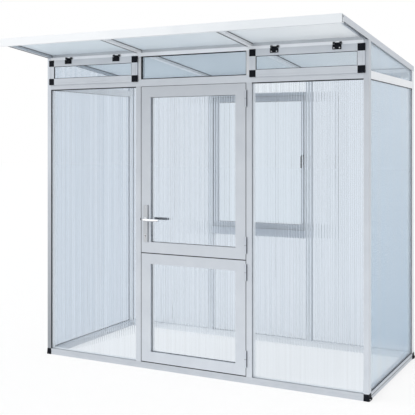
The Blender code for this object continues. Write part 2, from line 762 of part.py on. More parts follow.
for hand, side in HANDS:
    outline = mapped(verge_section, side * SIDE, -side, 0, 1)
    hollow = mapped(verge_cavity, side * SIDE, -side, 0, 1)
    verge = bar(f"roof_verge_{hand}_bar", "Y", outline, FASCIA_BACK + FIT, BACK, [hollow])
    pitched(verge)
    slots = []
    for index in range(SLOT_COUNT):
        foot = FRONT - SLOT_FIRST - index * SLOT_PITCH
        slot_outline = [
            (foot, ROOF_UNDERSIDE + WALL),
            (foot + SLOT_WIDTH, ROOF_UNDERSIDE + WALL),
            (foot + SLOT_WIDTH + SLOT_LEAN, PANE_LOW - WALL),
            (foot + SLOT_LEAN, PANE_LOW - WALL),
        ]
        inner = side * CORNER_INNER
        low, high = sorted((inner - side * FIT, inner + side * SLOT_DEPTH))
        slots.append(pitched(bar("verge_slot", "X", slot_outline, low, high)))
    cut(verge, grouped("verge_slots", slots))
    node(f"roof_verge_{hand}", verge, ALUMINIUM)

rear_face = BACK - FRAME_DEPTH
bar_section = [
    (-POST_WIDTH / 2, ROOF_UNDERSIDE),
    (POST_WIDTH / 2, ROOF_UNDERSIDE),
    (POST_WIDTH / 2, PANE_LOW - FIT),
    (POST_WIDTH / 2 - GROOVE, PANE_LOW - FIT),
    (POST_WIDTH / 2 - GROOVE, PANE_HIGH + FIT),
    (POST_WIDTH / 2, PANE_HIGH + FIT),
    (POST_WIDTH / 2, ROOF_TOP),
    (-POST_WIDTH / 2, ROOF_TOP),
    (-POST_WIDTH / 2, PANE_HIGH + FIT),
    (-POST_WIDTH / 2 + GROOVE, PANE_HIGH + FIT),
    (-POST_WIDTH / 2 + GROOVE, PANE_LOW - FIT),
    (-POST_WIDTH / 2, PANE_LOW - FIT),
]
bar_cavity = rectangle(
    -POST_WIDTH / 2 + GROOVE + WALL, POST_WIDTH / 2 - GROOVE - WALL, ROOF_UNDERSIDE + WALL, ROOF_TOP - WALL
)
for hand, side in HANDS:
    outline = mapped(bar_section, side * POST_CENTRE, 1, 0, 1)
    hollow = mapped(bar_cavity, side * POST_CENTRE, 1, 0, 1)
    roof_bar = bar("roof_bar", "Y", outline, FASCIA_BACK + FIT, rear_face - FIT, [hollow])
    node(f"roof_bar_{hand}", pitched(roof_bar), ALUMINIUM)

# Fascia: closes the front of the roof across its whole width
fascia_top = ROOF_TOP - roof_drop(EAVE)
fascia_bottom = fascia_top - FASCIA_HEIGHT


def roof_line(level, y):
    return level - roof_drop(y)


fascia_outline = [
    (EAVE, fascia_bottom),
    (FASCIA_BACK, fascia_bottom),
    (FASCIA_BACK, roof_line(PANE_LOW - FIT, FASCIA_BACK)),
    (FASCIA_BACK - GROOVE, roof_line(PANE_LOW - FIT, FASCIA_BACK - GROOVE)),
    (FASCIA_BACK - GROOVE, roof_line(PANE_HIGH + FIT, FASCIA_BACK - GROOVE)),
    (FASCIA_BACK, roof_line(PANE_HIGH + FIT, FASCIA_BACK)),
    (FASCIA_BACK, roof_line(ROOF_TOP, FASCIA_BACK)),
    (EAVE, fascia_top),
]
fascia_cavity = rectangle(
    EAVE + WALL,
    FASCIA_BACK - GROOVE - WALL,
    fascia_bottom + WALL,
    roof_line(ROOF_TOP, FASCIA_BACK - GROOVE) - WALL,
)
fascia = bar("fascia_bar", "X", fascia_outline, -SIDE, SIDE, [fascia_cavity])
node("roof_fascia", fascia, FASCIA_METAL)

# Rear rail: head of the rear wall and low edge of the roof in one profile
rear_front_groove = rear_face + GROOVE
rear_outline = [
    (rear_face, REAR_RAIL_BOTTOM),
    (BACK, REAR_RAIL_BOTTOM),
    (BACK, roof_line(ROOF_TOP, BACK)),
    (rear_face, roof_line(ROOF_TOP, rear_face)),
    (rear_face, roof_line(PANE_HIGH + FIT, rear_face)),
    (rear_front_groove, roof_line(PANE_HIGH + FIT, rear_front_groove)),
    (rear_front_groove, roof_line(PANE_LOW - FIT, rear_front_groove)),
    (rear_face, roof_line(PANE_LOW - FIT, rear_face)),
]
rear_cavity = rectangle(
    rear_front_groove + WALL,
    BACK - WALL,
    REAR_RAIL_BOTTOM + WALL,
    roof_line(ROOF_TOP, BACK) - WALL,
)
rear_rail = bar("rear_rail_bar", "X", rear_outline, -long_end, long_end, [rear_cavity])
node("roof_rear_rail", rear_rail, ALUMINIUM)

for hand, low, high in front_bays:
    outline = rectangle(low - PANE_BITE, high + PANE_BITE, PANE_LOW, PANE_HIGH)
    roof_pane = bar("roof_sheet", "Y", outline, FASCIA_BACK - PANE_BITE, rear_face + PANE_BITE)
    node(f"roof_pane_{hand}", pitched(roof_pane), TWIN_WALL)


# Wall panes, which stand in the grooves round them
def front_pane(name, x_low, x_high, z_low, z_high):
    y_low = FRONT + PANE_SETBACK
    return box(name, x_low, x_high, y_low, y_low + PANE, z_low, z_high)


def back_pane(name, x_low, x_high, z_low, z_high):
    y_high = BACK - PANE_SETBACK
    return box(name, x_low, x_high, y_high - PANE, y_high, z_low, z_high)


pane_foot = BASE_HEIGHT - PANE_BITE
bay_low = POST_OUTER - PANE_BITE
bay_high = CORNER_INNER + PANE_BITE
transom_bite = TRANSOM_BOTTOM + PANE_BITE
fanlight_low = TRANSOM_TOP - PANE_BITE
rear_bite = REAR_TRANSOM_BOTTOM + PANE_BITE
middle_edge = POST_INNER + PANE_BITE
for hand, side in HANDS:
    x_low, x_high = span(side * bay_low, side * bay_high)
    node(f"front_pane_{hand}", front_pane("sheet", x_low, x_high, pane_foot, transom_bite), CLEAR_GLASS)
    node(f"back_pane_{hand}", back_pane("sheet", x_low, x_high, pane_foot, rear_bite), TWIN_WALL)
fanlight = front_pane("sheet", -middle_edge, middle_edge, fanlight_low, HEAD_BOTTOM + PANE_BITE)
node("door_fanlight", fanlight, CLEAR_GLASS)
breast = back_pane("sheet", -middle_edge, middle_edge, pane_foot, WINDOW_BOTTOM + PANE_BITE)
node("window_breast_pane", breast, TWIN_WALL)
window_top = back_pane("sheet", -middle_edge, middle_edge, WINDOW_TOP - PANE_BITE, rear_bite)
node("window_top_pane", window_top, TWIN_WALL)

side_low = short_start - FIT - PANE_BITE
side_high = short_end + FIT + PANE_BITE
for hand, side in HANDS:
    x_low, x_high = span(side * (SIDE - PANE_SETBACK), side * (SIDE - PANE_SETBACK - PANE))
    outline = rectangle(side_low, side_high, pane_foot, transom_bite)
    node(f"side_pane_{hand}", bar("sheet", "X", outline, x_low, x_high), TWIN_WALL)
    gable_outline = [
        (side_low, fanlight_low),
        (side_high, fanlight_low),
        (side_high, roof_line(ROOF_UNDERSIDE + PANE_BITE, side_high)),
        (side_low, roof_line(ROOF_UNDERSIDE + PANE_BITE, side_low)),
    ]
    node(f"gable_pane_{hand}", bar("sheet", "X", gable_outline, x_low, x_high), TWIN_WALL)


# Closed frames: outline, opening, glazing groove and inner chamber
def closed_frame(name, x, y, z, stile, bottom, top, wall, groove, glass=None):
    """A hollow frame between the pairs x, y and z; glass is the depth range of its pane."""
    (x_low, x_high), (y_low, y_high), (z_low, z_high) = x, y, z
    frame = box(name, x_low, x_high, y_low, y_high, z_low, z_high)
    chamber = box(
        name + "_chamber",
        x_low + wall,
        x_high - wall,
        y_low + wall,
        y_high - wall,
        z_low + wall,
        z_high - wall,
    )
    core = box(
        name + "_core",
        x_low + stile - groove - wall,
        x_high - stile + groove + wall,
        y_low - FIT,
        y_high + FIT,
        z_low + bottom - groove - wall,
        z_high - top + groove + wall,
    )
    opening = box(
        name + "_opening",
        x_low + stile,
        x_high - stile,
        y_low - FIT,
        y_high + FIT,
        z_low + bottom,
        z_high - top,
    )
    cut(frame, cut(chamber, core), opening)
    if glass is not None:
        seat = box(
            name + "_seat",
            x_low + stile - groove,
            x_high - stile + groove,
            glass[0] - FIT,
            glass[1] + FIT,
            z_low + bottom - groove,
            z_high - top + groove,
        )
        cut(frame, seat)
    for drain_x in (x_low + DRAIN_INSET, x_high - DRAIN_INSET):
        slot = box(
            name + "_drain",
            drain_x - DRAIN_LENGTH / 2,
            drain_x + DRAIN_LENGTH / 2,
            (y_low + y_high) / 2 - DRAIN_WIDTH / 2,
            (y_low + y_high) / 2 + DRAIN_WIDTH / 2,
            z_low - FIT,
            z_low + wall + FIT,
        )
        cut(frame, slot)
    return frame


# Door: two leaves, hinged on the right
SPINDLE_X = -LEAF_EDGE + LEAF_MEMBER / 2
upper_axis = joint_empty("upper_leaf_axis", (HINGE_X, HINGE_Y, UPPER_FLOOR))
lower_axis = joint_empty("lower_leaf_axis", (HINGE_X, HINGE_Y, LEAF_FLOOR))


def keyhole(clearance):
    """Outline (X, Z) of the lock cylinder: a round top with a stem below."""
    radius = CYLINDER_RADIUS + clearance
    half = CYLINDER_STEM / 2 + clearance
    start = math.asin(half / radius)
    turn = 2 * math.pi - 2 * start
    points = []
    for index in range(HINGE_SEGMENTS + 1):
        angle = start + turn * index / HINGE_SEGMENTS
        points.append((SPINDLE_X - radius * math.sin(angle), CYLINDER_HEIGHT - radius * math.cos(angle)))
    floor = CYLINDER_HEIGHT - CYLINDER_DROP - clearance
    return [*points, (SPINDLE_X + half, floor), (SPINDLE_X - half, floor)]


def lock_cutters():
    """Holes for the spindle and the cylinder, right through the leaf and both backplates."""
    reach = PLATE_THICKNESS + 2 * FIT
    centre = (SPINDLE_X, latch_middle, LEVER_HEIGHT)
    spindle_hole = rod("spindle_hole", "Y", centre, SPINDLE_HOLE, LEAF_DEPTH + 2 * reach)
    cylinder_hole = bar("cylinder_hole", "Y", keyhole(FIT), FRONT - reach, FRONT + LEAF_DEPTH + reach)
    return spindle_hole, cylinder_hole


def latch_block(name, x_low, x_high, clearance):
    half_depth = LATCH_THICKNESS / 2 + clearance
    half_height = LATCH_HEIGHT / 2 + clearance
    return box(
        name,
        x_low,
        x_high,
        latch_middle - half_depth,
        latch_middle + half_depth,
        LEVER_HEIGHT - half_height,
        LEVER_HEIGHT + half_height,
    )


glass_range = (FRONT + GLASS_SETBACK, FRONT + GLASS_SETBACK + GLASS)
for hand, floor, top, axis, hinges in (
    ("upper", UPPER_FLOOR, UPPER_TOP, upper_axis, upper_hinges),
    ("lower", LEAF_FLOOR, LOWER_TOP, lower_axis, lower_hinges),
):
    leaf = closed_frame(
        "leaf",
        (-LEAF_EDGE, LEAF_EDGE),
        (FRONT, FRONT + LEAF_DEPTH),
        (floor, top),
        LEAF_MEMBER,
        LEAF_MEMBER,
        LEAF_MEMBER,
        LEAF_WALL,
        GLASS_GROOVE,
        glass_range,
    )
    if hand == "upper":
        latch_way = latch_block("latch_way", -LEAF_EDGE - FIT, -LEAF_EDGE + LEAF_WALL + FIT, LATCH_CLEARANCE)
        cut(leaf, *lock_cutters(), latch_way)
    fuse(leaf, *[moving for fixed, moving in hinges])
    node(f"{hand}_leaf_frame", leaf, ALUMINIUM, axis)
    inset = LEAF_MEMBER - GLASS_BITE
    edge = LEAF_EDGE - inset
    sheet = box("sheet", -edge, edge, *glass_range, floor + inset, top - inset)
    node(f"{hand}_leaf_glass", sheet, CLEAR_GLASS, axis)

# Lock case inside the upper leaf's left stile, with the latch in its channel
latch_tail_end = -LEAF_EDGE + LATCH_TAIL
case_low = -LEAF_EDGE + LEAF_WALL + FIT
case = box(
    "case",
    case_low,
    case_low + CASE_WIDTH,
    latch_middle - CASE_THICKNESS / 2,
    latch_middle + CASE_THICKNESS / 2,
    CASE_BOTTOM,
    CASE_TOP,
)
channel_end = latch_tail_end + LATCH_PROUD + 2 * FIT
cut(case, *lock_cutters(), latch_block("latch_way", case_low - FIT, channel_end, LATCH_CLEARANCE))
node("lock_case", case, STEEL, upper_axis)

cylinder_proud = PLATE_THICKNESS + FIT + CYLINDER_PROUD
cylinder = bar("cylinder", "Y", keyhole(0), FRONT - cylinder_proud, FRONT + LEAF_DEPTH + cylinder_proud)
node("lock_cylinder", cylinder, STEEL, upper_axis)


def rounded_rectangle(x_low, x_high, z_low, z_high, radius, steps=4):
    points = []
    corners = (
        (x_high - radius, z_high - radius, 0),
        (x_low + radius, z_high - radius, 1),
        (x_low + radius, z_low + radius, 2),
        (x_high - radius, z_low + radius, 3),
    )
    for x, z, quarter in corners:
        for index in range(steps + 1):
            angle = (quarter + index / steps) * math.pi / 2
            points.append((x + radius * math.cos(angle), z + radius * math.sin(angle)))
    return points


for name, y_low in (
    ("backplate_outer", FRONT - FIT - PLATE_THICKNESS),
    ("backplate_inner", FRONT + LEAF_DEPTH + FIT),
):
    outline = rounded_rectangle(
        SPINDLE_X - PLATE_WIDTH / 2,
        SPINDLE_X + PLATE_WIDTH / 2,
        PLATE_BOTTOM,
        PLATE_BOTTOM + PLATE_HEIGHT,
        PLATE_CORNER,
    )
    plate = bar("plate", "Y", outline, y_low, y_low + PLATE_THICKNESS)
    node(name, cut(plate, *lock_cutters()), ALUMINIUM, upper_axis)

latch_axis = joint_empty("latch_axis", (-LEAF_EDGE, latch_middle, LEVER_HEIGHT), upper_axis)
latch = latch_block("latch", -LEAF_EDGE - LATCH_PROUD, latch_tail_end, 0)
node("latch_bolt", latch, STEEL, latch_axis)


# Levers: a neck off the backplate that bends into the grip
def bent_grip(name, start, outward, standoff, length, direction, radius):
    """A round grip that leaves start along Y and then runs along direction, an (X, Z) pair."""
    x, y, z = start
    points = [start, (x, y + outward * (standoff - LEVER_BEND), z)]
    for index in range(1, BEND_STEPS + 1):
        angle = index / BEND_STEPS * math.pi / 2
        reach = LEVER_BEND * (1 - math.cos(angle))
        rise = standoff - LEVER_BEND * (1 - math.sin(angle))
        points.append((x + direction[0] * reach, y + outward * rise, z + direction[1] * reach))
    points.append((x + direction[0] * length, y + outward * standoff, z + direction[1] * length))
    return tube(name, points, radius)


lever_axis = joint_empty("lever_axis", (SPINDLE_X, latch_middle, LEVER_HEIGHT), upper_axis)
outer_start = FRONT - 2 * FIT - PLATE_THICKNESS
inner_start = FRONT + LEAF_DEPTH + 2 * FIT + PLATE_THICKNESS
spindle_half = SPINDLE / 2
outer_lever = bent_grip(
    "grip", (SPINDLE_X, outer_start, LEVER_HEIGHT), -1, LEVER_STANDOFF, LEVER_LENGTH, (1, 0), LEVER_RADIUS
)
socket = box(
    "socket",
    SPINDLE_X - spindle_half - FIT,
    SPINDLE_X + spindle_half + FIT,
    outer_start - SPINDLE_BITE - FIT,
    outer_start + FIT,
    LEVER_HEIGHT - spindle_half - FIT,
    LEVER_HEIGHT + spindle_half + FIT,
)
node("outer_lever", cut(outer_lever, socket), ALUMINIUM, lever_axis, smooth=True)
inner_lever = bent_grip(
    "grip", (SPINDLE_X, inner_start, LEVER_HEIGHT), 1, LEVER_STANDOFF, LEVER_LENGTH, (1, 0), LEVER_RADIUS
)
spindle = box(
    "spindle",
    SPINDLE_X - spindle_half,
    SPINDLE_X + spindle_half,
    outer_start - SPINDLE_BITE,
    inner_start + SPINDLE_BITE,
    LEVER_HEIGHT - spindle_half,
    LEVER_HEIGHT + spindle_half,
)
node("inner_lever", fuse(inner_lever, spindle), ALUMINIUM, lever_axis, smooth=True)

# Top vents: a flat frame with black corners, hung from two hinges
pane_front = VENT_FACE + (VENT_THICKNESS - VENT_PANE) / 2
for hand, side in HANDS:
    vent_axis = joint_empty(f"{hand}_vent_axis", (side * VENT_CENTRE, VENT_AXIS_Y, VENT_AXIS_Z))
    x_low, x_high = span(side * VENT_INNER, side * VENT_OUTER)
    vent = closed_frame(
        "vent",
        (x_low, x_high),
        (VENT_FACE, VENT_FACE + VENT_THICKNESS),
        (VENT_BOTTOM, VENT_TOP),
        VENT_MEMBER,
        VENT_MEMBER,
        VENT_MEMBER,
        VENT_WALL,
        VENT_GROOVE,
        (pane_front, pane_front + VENT_PANE),
    )
    for turn in (-1, 1):
        hinge_x = side * VENT_CENTRE + turn * VENT_HINGE_OFFSET
        half = VENT_HINGE_WIDTH / 2
        barrel_half = half - VENT_HINGE_EAR - FIT
        front = VENT_FACE - VENT_HINGE_PLATE
        low = VENT_TOP - VENT_HINGE_DROP
        plate = box("vent_plate", hinge_x - half, hinge_x + half, front, VENT_FACE + WELD, low, VENT_TOP)
        riser = box(
            "vent_riser",
            hinge_x - barrel_half,
            hinge_x + barrel_half,
            front,
            VENT_FACE,
            VENT_TOP - WELD,
            VENT_AXIS_Z,
        )
        neck = box(
            "vent_neck",
            hinge_x - barrel_half,
            hinge_x + barrel_half,
            front,
            VENT_AXIS_Y,
            VENT_TOP + FIT,
            VENT_AXIS_Z,
        )
        centre = (hinge_x, VENT_AXIS_Y, VENT_AXIS_Z)
        barrel = rod("vent_barrel", "X", centre, VENT_KNUCKLE, 2 * barrel_half)
        bore_radius = (VENT_PIN + FIT) / math.cos(math.pi / HINGE_SEGMENTS)
        bore = rod("vent_bore", "X", centre, bore_radius, 2 * barrel_half + 2 * FIT)
        hinge = paint(plate, BLACK_PLASTIC)
        fuse(hinge, paint(riser, BLACK_PLASTIC), paint(neck, BLACK_PLASTIC), paint(barrel, BLACK_PLASTIC))
        fuse(vent, cut(hinge, bore))
    node(f"{hand}_vent_frame", paint(vent, ALUMINIUM), ALUMINIUM, vent_axis)

    inset = VENT_MEMBER - VENT_PANE_BITE
    sheet = box(
        "sheet",
        x_low + inset,
        x_high - inset,
        pane_front,
        pane_front + VENT_PANE,
        VENT_BOTTOM + inset,
        VENT_TOP - inset,
    )
    node(f"{hand}_vent_pane", sheet, CLEAR_GLASS, vent_axis)

# Rear window: a fixed frame between the rear posts, and a sash that opens outwards
frame_edge = POST_INNER - FIT
window_frame = closed_frame(
    "window_frame",
    (-frame_edge, frame_edge),
    (BACK - FRAME_DEPTH, BACK),
    (WINDOW_BOTTOM, WINDOW_TOP),
    WINDOW_JAMB,
    WINDOW_SILL,
    WINDOW_HEAD,
    WALL,
    0,
)
lower_seat = (WINDOW_BOTTOM - FIT, WINDOW_BOTTOM + GROOVE)
upper_seat = (WINDOW_TOP - GROOVE, WINDOW_TOP + FIT)
for seat_low, seat_high in (lower_seat, upper_seat):
    pane_seat = box(
        "pane_seat",
        -frame_edge - FIT,
        frame_edge + FIT,
        BACK - GROOVE_BACK,
        BACK - GROOVE_FRONT,
        seat_low,
        seat_high,
    )
    cut(window_frame, pane_seat)
sash_edge = frame_edge - WINDOW_JAMB - DOOR_GAP
sash_bottom = WINDOW_BOTTOM + WINDOW_SILL + SASH_CLEARANCE
sash_top = WINDOW_TOP - WINDOW_HEAD - SASH_CLEARANCE
window_hinge_x = -sash_edge - DOOR_GAP / 2
window_axis = joint_empty("window_axis", (window_hinge_x, BACK + KNUCKLE_OFFSET, sash_bottom))
window_glass = (BACK - WINDOW_PANE_SETBACK - GLASS, BACK - WINDOW_PANE_SETBACK)
sash = closed_frame(
    "sash",
    (-sash_edge, sash_edge),
    (BACK - SASH_DEPTH, BACK),
    (sash_bottom, sash_top),
    SASH_STILE,
    SASH_RAIL,
    SASH_RAIL,
    WALL,
    GLASS_GROOVE,
    window_glass,
)
for middle in (sash_bottom + WINDOW_HINGE_INSET, sash_top - WINDOW_HINGE_INSET):
    fixed, moving = hinge_pair(window_hinge_x, BACK, -1, -1, middle)
    fuse(window_frame, fixed)
    fuse(sash, moving)
node("window_frame", window_frame, ALUMINIUM)
node("window_sash", sash, ALUMINIUM, window_axis)
stile_inset = SASH_STILE - GLASS_BITE
rail_inset = SASH_RAIL - GLASS_BITE
window_sheet = box(
    "sheet",
    -sash_edge + stile_inset,
    sash_edge - stile_inset,
    *window_glass,
    sash_bottom + rail_inset,
    sash_top - rail_inset,
)
node("window_pane", window_sheet, CLEAR_GLASS, window_axis)

handle_start = (sash_edge - SASH_STILE / 2, BACK - SASH_DEPTH - FIT, WINDOW_HANDLE_HEIGHT)
handle_axis = joint_empty("window_handle_axis", handle_start, window_axis)
handle = bent_grip(
    "grip",
    handle_start,
    -1,
    WINDOW_HANDLE_STANDOFF,
    WINDOW_HANDLE_LENGTH,
    (0, -1),
    WINDOW_HANDLE_RADIUS,
)
node("window_handle", handle, BLACK_PLASTIC, handle_axis, smooth=True)
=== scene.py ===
import math

import bmesh
import bpy
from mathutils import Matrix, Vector


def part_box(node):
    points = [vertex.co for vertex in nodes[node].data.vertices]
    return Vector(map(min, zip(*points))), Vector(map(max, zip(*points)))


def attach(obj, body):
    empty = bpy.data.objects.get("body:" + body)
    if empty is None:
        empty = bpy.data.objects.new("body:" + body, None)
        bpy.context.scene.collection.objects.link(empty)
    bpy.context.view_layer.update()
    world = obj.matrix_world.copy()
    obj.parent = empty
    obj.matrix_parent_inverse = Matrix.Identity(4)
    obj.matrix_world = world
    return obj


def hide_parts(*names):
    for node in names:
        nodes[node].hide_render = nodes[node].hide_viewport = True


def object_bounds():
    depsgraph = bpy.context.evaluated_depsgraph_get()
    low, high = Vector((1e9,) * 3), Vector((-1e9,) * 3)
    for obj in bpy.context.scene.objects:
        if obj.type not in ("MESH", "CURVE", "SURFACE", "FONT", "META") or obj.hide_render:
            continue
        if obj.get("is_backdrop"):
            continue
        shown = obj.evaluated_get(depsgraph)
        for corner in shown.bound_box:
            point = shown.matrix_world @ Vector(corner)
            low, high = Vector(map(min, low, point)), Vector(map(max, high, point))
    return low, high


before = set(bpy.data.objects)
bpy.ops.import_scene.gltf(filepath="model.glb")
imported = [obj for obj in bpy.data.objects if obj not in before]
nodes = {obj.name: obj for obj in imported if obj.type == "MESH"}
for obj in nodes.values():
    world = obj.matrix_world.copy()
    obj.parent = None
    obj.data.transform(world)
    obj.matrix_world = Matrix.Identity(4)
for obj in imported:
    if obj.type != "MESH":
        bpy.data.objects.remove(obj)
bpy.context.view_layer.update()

scene = bpy.context.scene

# Camera: it stands to the front right at eye height, level, with the lens shifted so that the uprights
# stay parallel. Its place and lens were worked out from straight edges in the photograph. Many clear
# sheets lie behind each other, so rays may pass more of them than usual.
camera_data = bpy.data.cameras.new("camera")
camera_data.sensor_width = 36.0
camera_data.lens = 70.98
camera_data.shift_y = -0.1592
camera = bpy.data.objects.new("camera", camera_data)
camera.location = (2.711, -5.288, 1.6143)
camera.rotation_euler = (math.radians(90), 0, math.radians(27.57))
scene.collection.objects.link(camera)
scene.camera = camera
scene.cycles.transparent_max_bounces = 40
scene.view_settings.view_transform = "Standard"


# Studio: white surroundings, a pale floor that keeps a faint shadow, and two broad soft lamps, the
# stronger one high on the left.
def added(tree, kind, settings=None, **inputs):
    """A new shader node. An input is a plain value or another node's output; i0, i1 are inputs by place."""
    made = tree.nodes.new(kind)
    for name, value in (settings or {}).items():
        setattr(made, name, value)
    for name, value in inputs.items():
        key = int(name[1:]) if name[1:].isdigit() else name.replace("_", " ")
        if isinstance(value, bpy.types.NodeSocket):
            tree.links.new(value, made.inputs[key])
        else:
            made.inputs[key].default_value = value
    return made


def computed(tree, operation, *values):
    """The result of a Math node."""
    inputs = {f"i{index}": value for index, value in enumerate(values)}
    return added(tree, "ShaderNodeMath", {"operation": operation}, **inputs).outputs[0]


def seen_directly(tree):
    """1 for rays that the camera sees by, also in metal or through glass, and 0 for those of the lamps."""
    path = added(tree, "ShaderNodeLightPath").outputs
    mirrored = computed(tree, "MAXIMUM", path["Is Glossy Ray"], path["Is Transmission Ray"])
    return computed(tree, "MAXIMUM", path["Is Camera Ray"], mirrored)


AMBIENT = 0.70
world = bpy.data.worlds.new("studio")
world.use_nodes = True
scene.world = world
world_tree = world.node_tree
surround = world_tree.nodes["Background"]
surround.inputs["Color"].default_value = (0.97, 0.985, 1.0, 1.0)
surround.inputs["Strength"].default_value = AMBIENT
white = added(world_tree, "ShaderNodeBackground", Color=(1.0, 1.0, 1.0, 1.0), Strength=1.0)
shown = added(world_tree, "ShaderNodeMixShader", i0=seen_directly(world_tree), i1=surround.outputs[0],
              i2=white.outputs[0])
world_tree.links.new(shown.outputs[0], world_tree.nodes["World Output"].inputs["Surface"])

for lamp_name, strength, spread, turn in (
    ("key_lamp", 1.2, 50, (42, 0, -38)),
    ("fill_lamp", 0.25, 80, (66, 0, 48)),
):
    lamp_data = bpy.data.lights.new(lamp_name, "SUN")
    lamp_data.energy = strength
    lamp_data.angle = math.radians(spread)
    lamp = bpy.data.objects.new(lamp_name, lamp_data)
    lamp.rotation_euler = [math.radians(angle) for angle in turn]
    scene.collection.objects.link(lamp)


def new_material(name):
    made = bpy.data.materials.new(name)
    made.use_nodes = True
    return made, made.node_tree, made.node_tree.nodes["Principled BSDF"]


FLOOR_REACH = 40.0
FLOOR_LEVEL = -0.0005  # just under the base rails
FLOOR_GLOW = 0.72  # share of the floor that shows as plain white, so that its shadow stays faint
floor_mesh = bpy.data.meshes.new("floor")
floor_signs = ((-1, -1), (1, -1), (1, 1), (-1, 1))
floor_corners = [(x * FLOOR_REACH, y * FLOOR_REACH, FLOOR_LEVEL) for x, y in floor_signs]
floor_mesh.from_pydata(floor_corners, [], [(0, 1, 2, 3)])
floor = bpy.data.objects.new("floor", floor_mesh)
scene.collection.objects.link(floor)
floor_paint, floor_tree, floor_shader = new_material("studio floor")
floor_shader.inputs["Base Color"].default_value = (1.0, 1.0, 1.0, 1.0)
floor_shader.inputs["Roughness"].default_value = 0.9
floor_shader.inputs["Specular IOR Level"].default_value = 0.0
glow = added(floor_tree, "ShaderNodeEmission", Color=(1.0, 1.0, 1.0, 1.0), Strength=1.0)
glow_share = computed(floor_tree, "MULTIPLY", seen_directly(floor_tree), FLOOR_GLOW)
floor_mix = added(floor_tree, "ShaderNodeMixShader", i0=glow_share, i1=floor_shader.outputs[0],
                  i2=glow.outputs[0])
floor_tree.links.new(floor_mix.outputs[0], floor_tree.nodes["Material Output"].inputs["Surface"])
floor.data.materials.append(floor_paint)
floor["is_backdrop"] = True


# Wall frame: extruded aluminium profiles in mill finish, with fine die lines along each profile and a
# slightly cloudy sheen. They are cut square, and screwed together through their chambers.
def object_place(tree):
    return added(tree, "ShaderNodeTexCoord").outputs["Object"]


def stretched(tree, place, scale):
    return added(tree, "ShaderNodeMapping", Vector=place, Scale=scale).outputs[0]


def noise(tree, place, scale, detail=3.0):
    return added(tree, "ShaderNodeTexNoise", Vector=place, Scale=scale, Detail=detail).outputs["Fac"]


def shades(tree, factor, dark, light, low=0.3, high=0.7):
    """A colour between dark and light as factor goes from low to high."""
    made = added(tree, "ShaderNodeValToRGB", Fac=factor)
    made.color_ramp.elements[0].position = low
    made.color_ramp.elements[0].color = (*dark, 1.0)
    made.color_ramp.elements[1].position = high
    made.color_ramp.elements[1].color = (*light, 1.0)
    return made.outputs["Color"]


def ranged(tree, factor, low, high):
    return added(tree, "ShaderNodeMapRange", Value=factor, To_Min=low, To_Max=high).outputs["Result"]


def add_relief(tree, height, strength, depth):
    bump = added(tree, "ShaderNodeBump", Height=height, Strength=strength, Distance=depth)
    tree.links.new(bump.outputs[0], tree.nodes["Principled BSDF"].inputs["Normal"])


def mill_aluminium(name, run, dark=(0.535, 0.57, 0.62), light=(0.61, 0.645, 0.69), metal=0.75,
                   fade=None):
    """fade gives two heights, and what the metal's colour is multiplied by at each of them, so that it is
    painted lighter or darker with height.
    """
    made, tree, shader = new_material(name)
    place = object_place(tree)
    stretch = [900.0, 900.0, 900.0]
    stretch["XYZ".index(run)] = 4.0
    die_lines = noise(tree, stretched(tree, place, stretch), 1.0)
    cloud_share = computed(tree, "MULTIPLY", noise(tree, place, 6.0), 0.65)
    both = computed(tree, "MULTIPLY_ADD", die_lines, 0.35, cloud_share)
    colour = shades(tree, both, dark, light)
    if fade:
        height = added(tree, "ShaderNodeSeparateXYZ", Vector=place).outputs["Z"]
        (low, share_low), (high, share_high) = fade
        share = added(tree, "ShaderNodeMapRange", Value=height, From_Min=low, From_Max=high,
                      To_Min=share_low, To_Max=share_high).outputs["Result"]
        colour = added(tree, "ShaderNodeVectorMath", {"operation": "SCALE"}, Vector=colour,
                       Scale=share).outputs[0]
    tree.links.new(colour, shader.inputs["Base Color"])
    tree.links.new(ranged(tree, both, 0.32, 0.5), shader.inputs["Roughness"])
    add_relief(tree, die_lines, 0.12, 0.0002)
    shader.inputs["Metallic"].default_value = metal
    return made


def finish(node, material):
    nodes[node].data.materials.clear()
    nodes[node].data.materials.append(material)


# The profiles at the rear and under the roof have brighter copies of the metal, and the rear posts a lighter
# one: painted light. The front left post is darker towards its foot.
aluminium = {run: mill_aluminium(f"mill aluminium along {run}", run) for run in "XY"}
# The upright profiles are painted lighter at the foot and darker near the top: painted light from the floor
# and painted shade under the roof's overhang.
aluminium["Z"] = mill_aluminium("mill aluminium along Z", "Z", fade=((0.1, 1.14), (2.0, 0.9)))
foot_darkened_post = mill_aluminium("post darker at its foot", "Z", fade=((0.1, 0.58), (1.5, 1.07)))
# The window sash's darker copy of the metal is painted shade.
shaded_sash_aluminium = mill_aluminium("shaded sash aluminium", "Z", (0.52, 0.55, 0.59), (0.59, 0.62, 0.66))
shaded_aluminium = mill_aluminium("shaded aluminium", "X", (0.46, 0.49, 0.525), (0.53, 0.56, 0.60))
painted_light_aluminium = {}
for run in "XYZ":
    painted_light_aluminium[run] = mill_aluminium(f"bright aluminium along {run}", run, (0.80, 0.82, 0.85),
                                           (0.88, 0.90, 0.92), metal=0.35)
painted_light_rear_aluminium = mill_aluminium("rear post aluminium with painted light", "Z", (0.66, 0.69, 0.73), (0.74, 0.77, 0.80),
                                metal=0.45)
finish("base_rail_front", aluminium["X"])
finish("base_rail_back", painted_light_aluminium["X"])
finish("transom_front", aluminium["X"])
for hand in ("left", "right"):
    finish(f"corner_post_back_{hand}", painted_light_aluminium["Z"])
    finish(f"door_post_{hand}", aluminium["Z"])
    finish(f"back_post_{hand}", painted_light_rear_aluminium)
    finish(f"base_rail_{hand}", aluminium["Y"])
    finish(f"transom_{hand}", painted_light_aluminium["Y"])
finish("corner_post_front_left", foot_darkened_post)
finish("corner_post_front_right", aluminium["Z"])
finish("transom_back", shaded_aluminium)


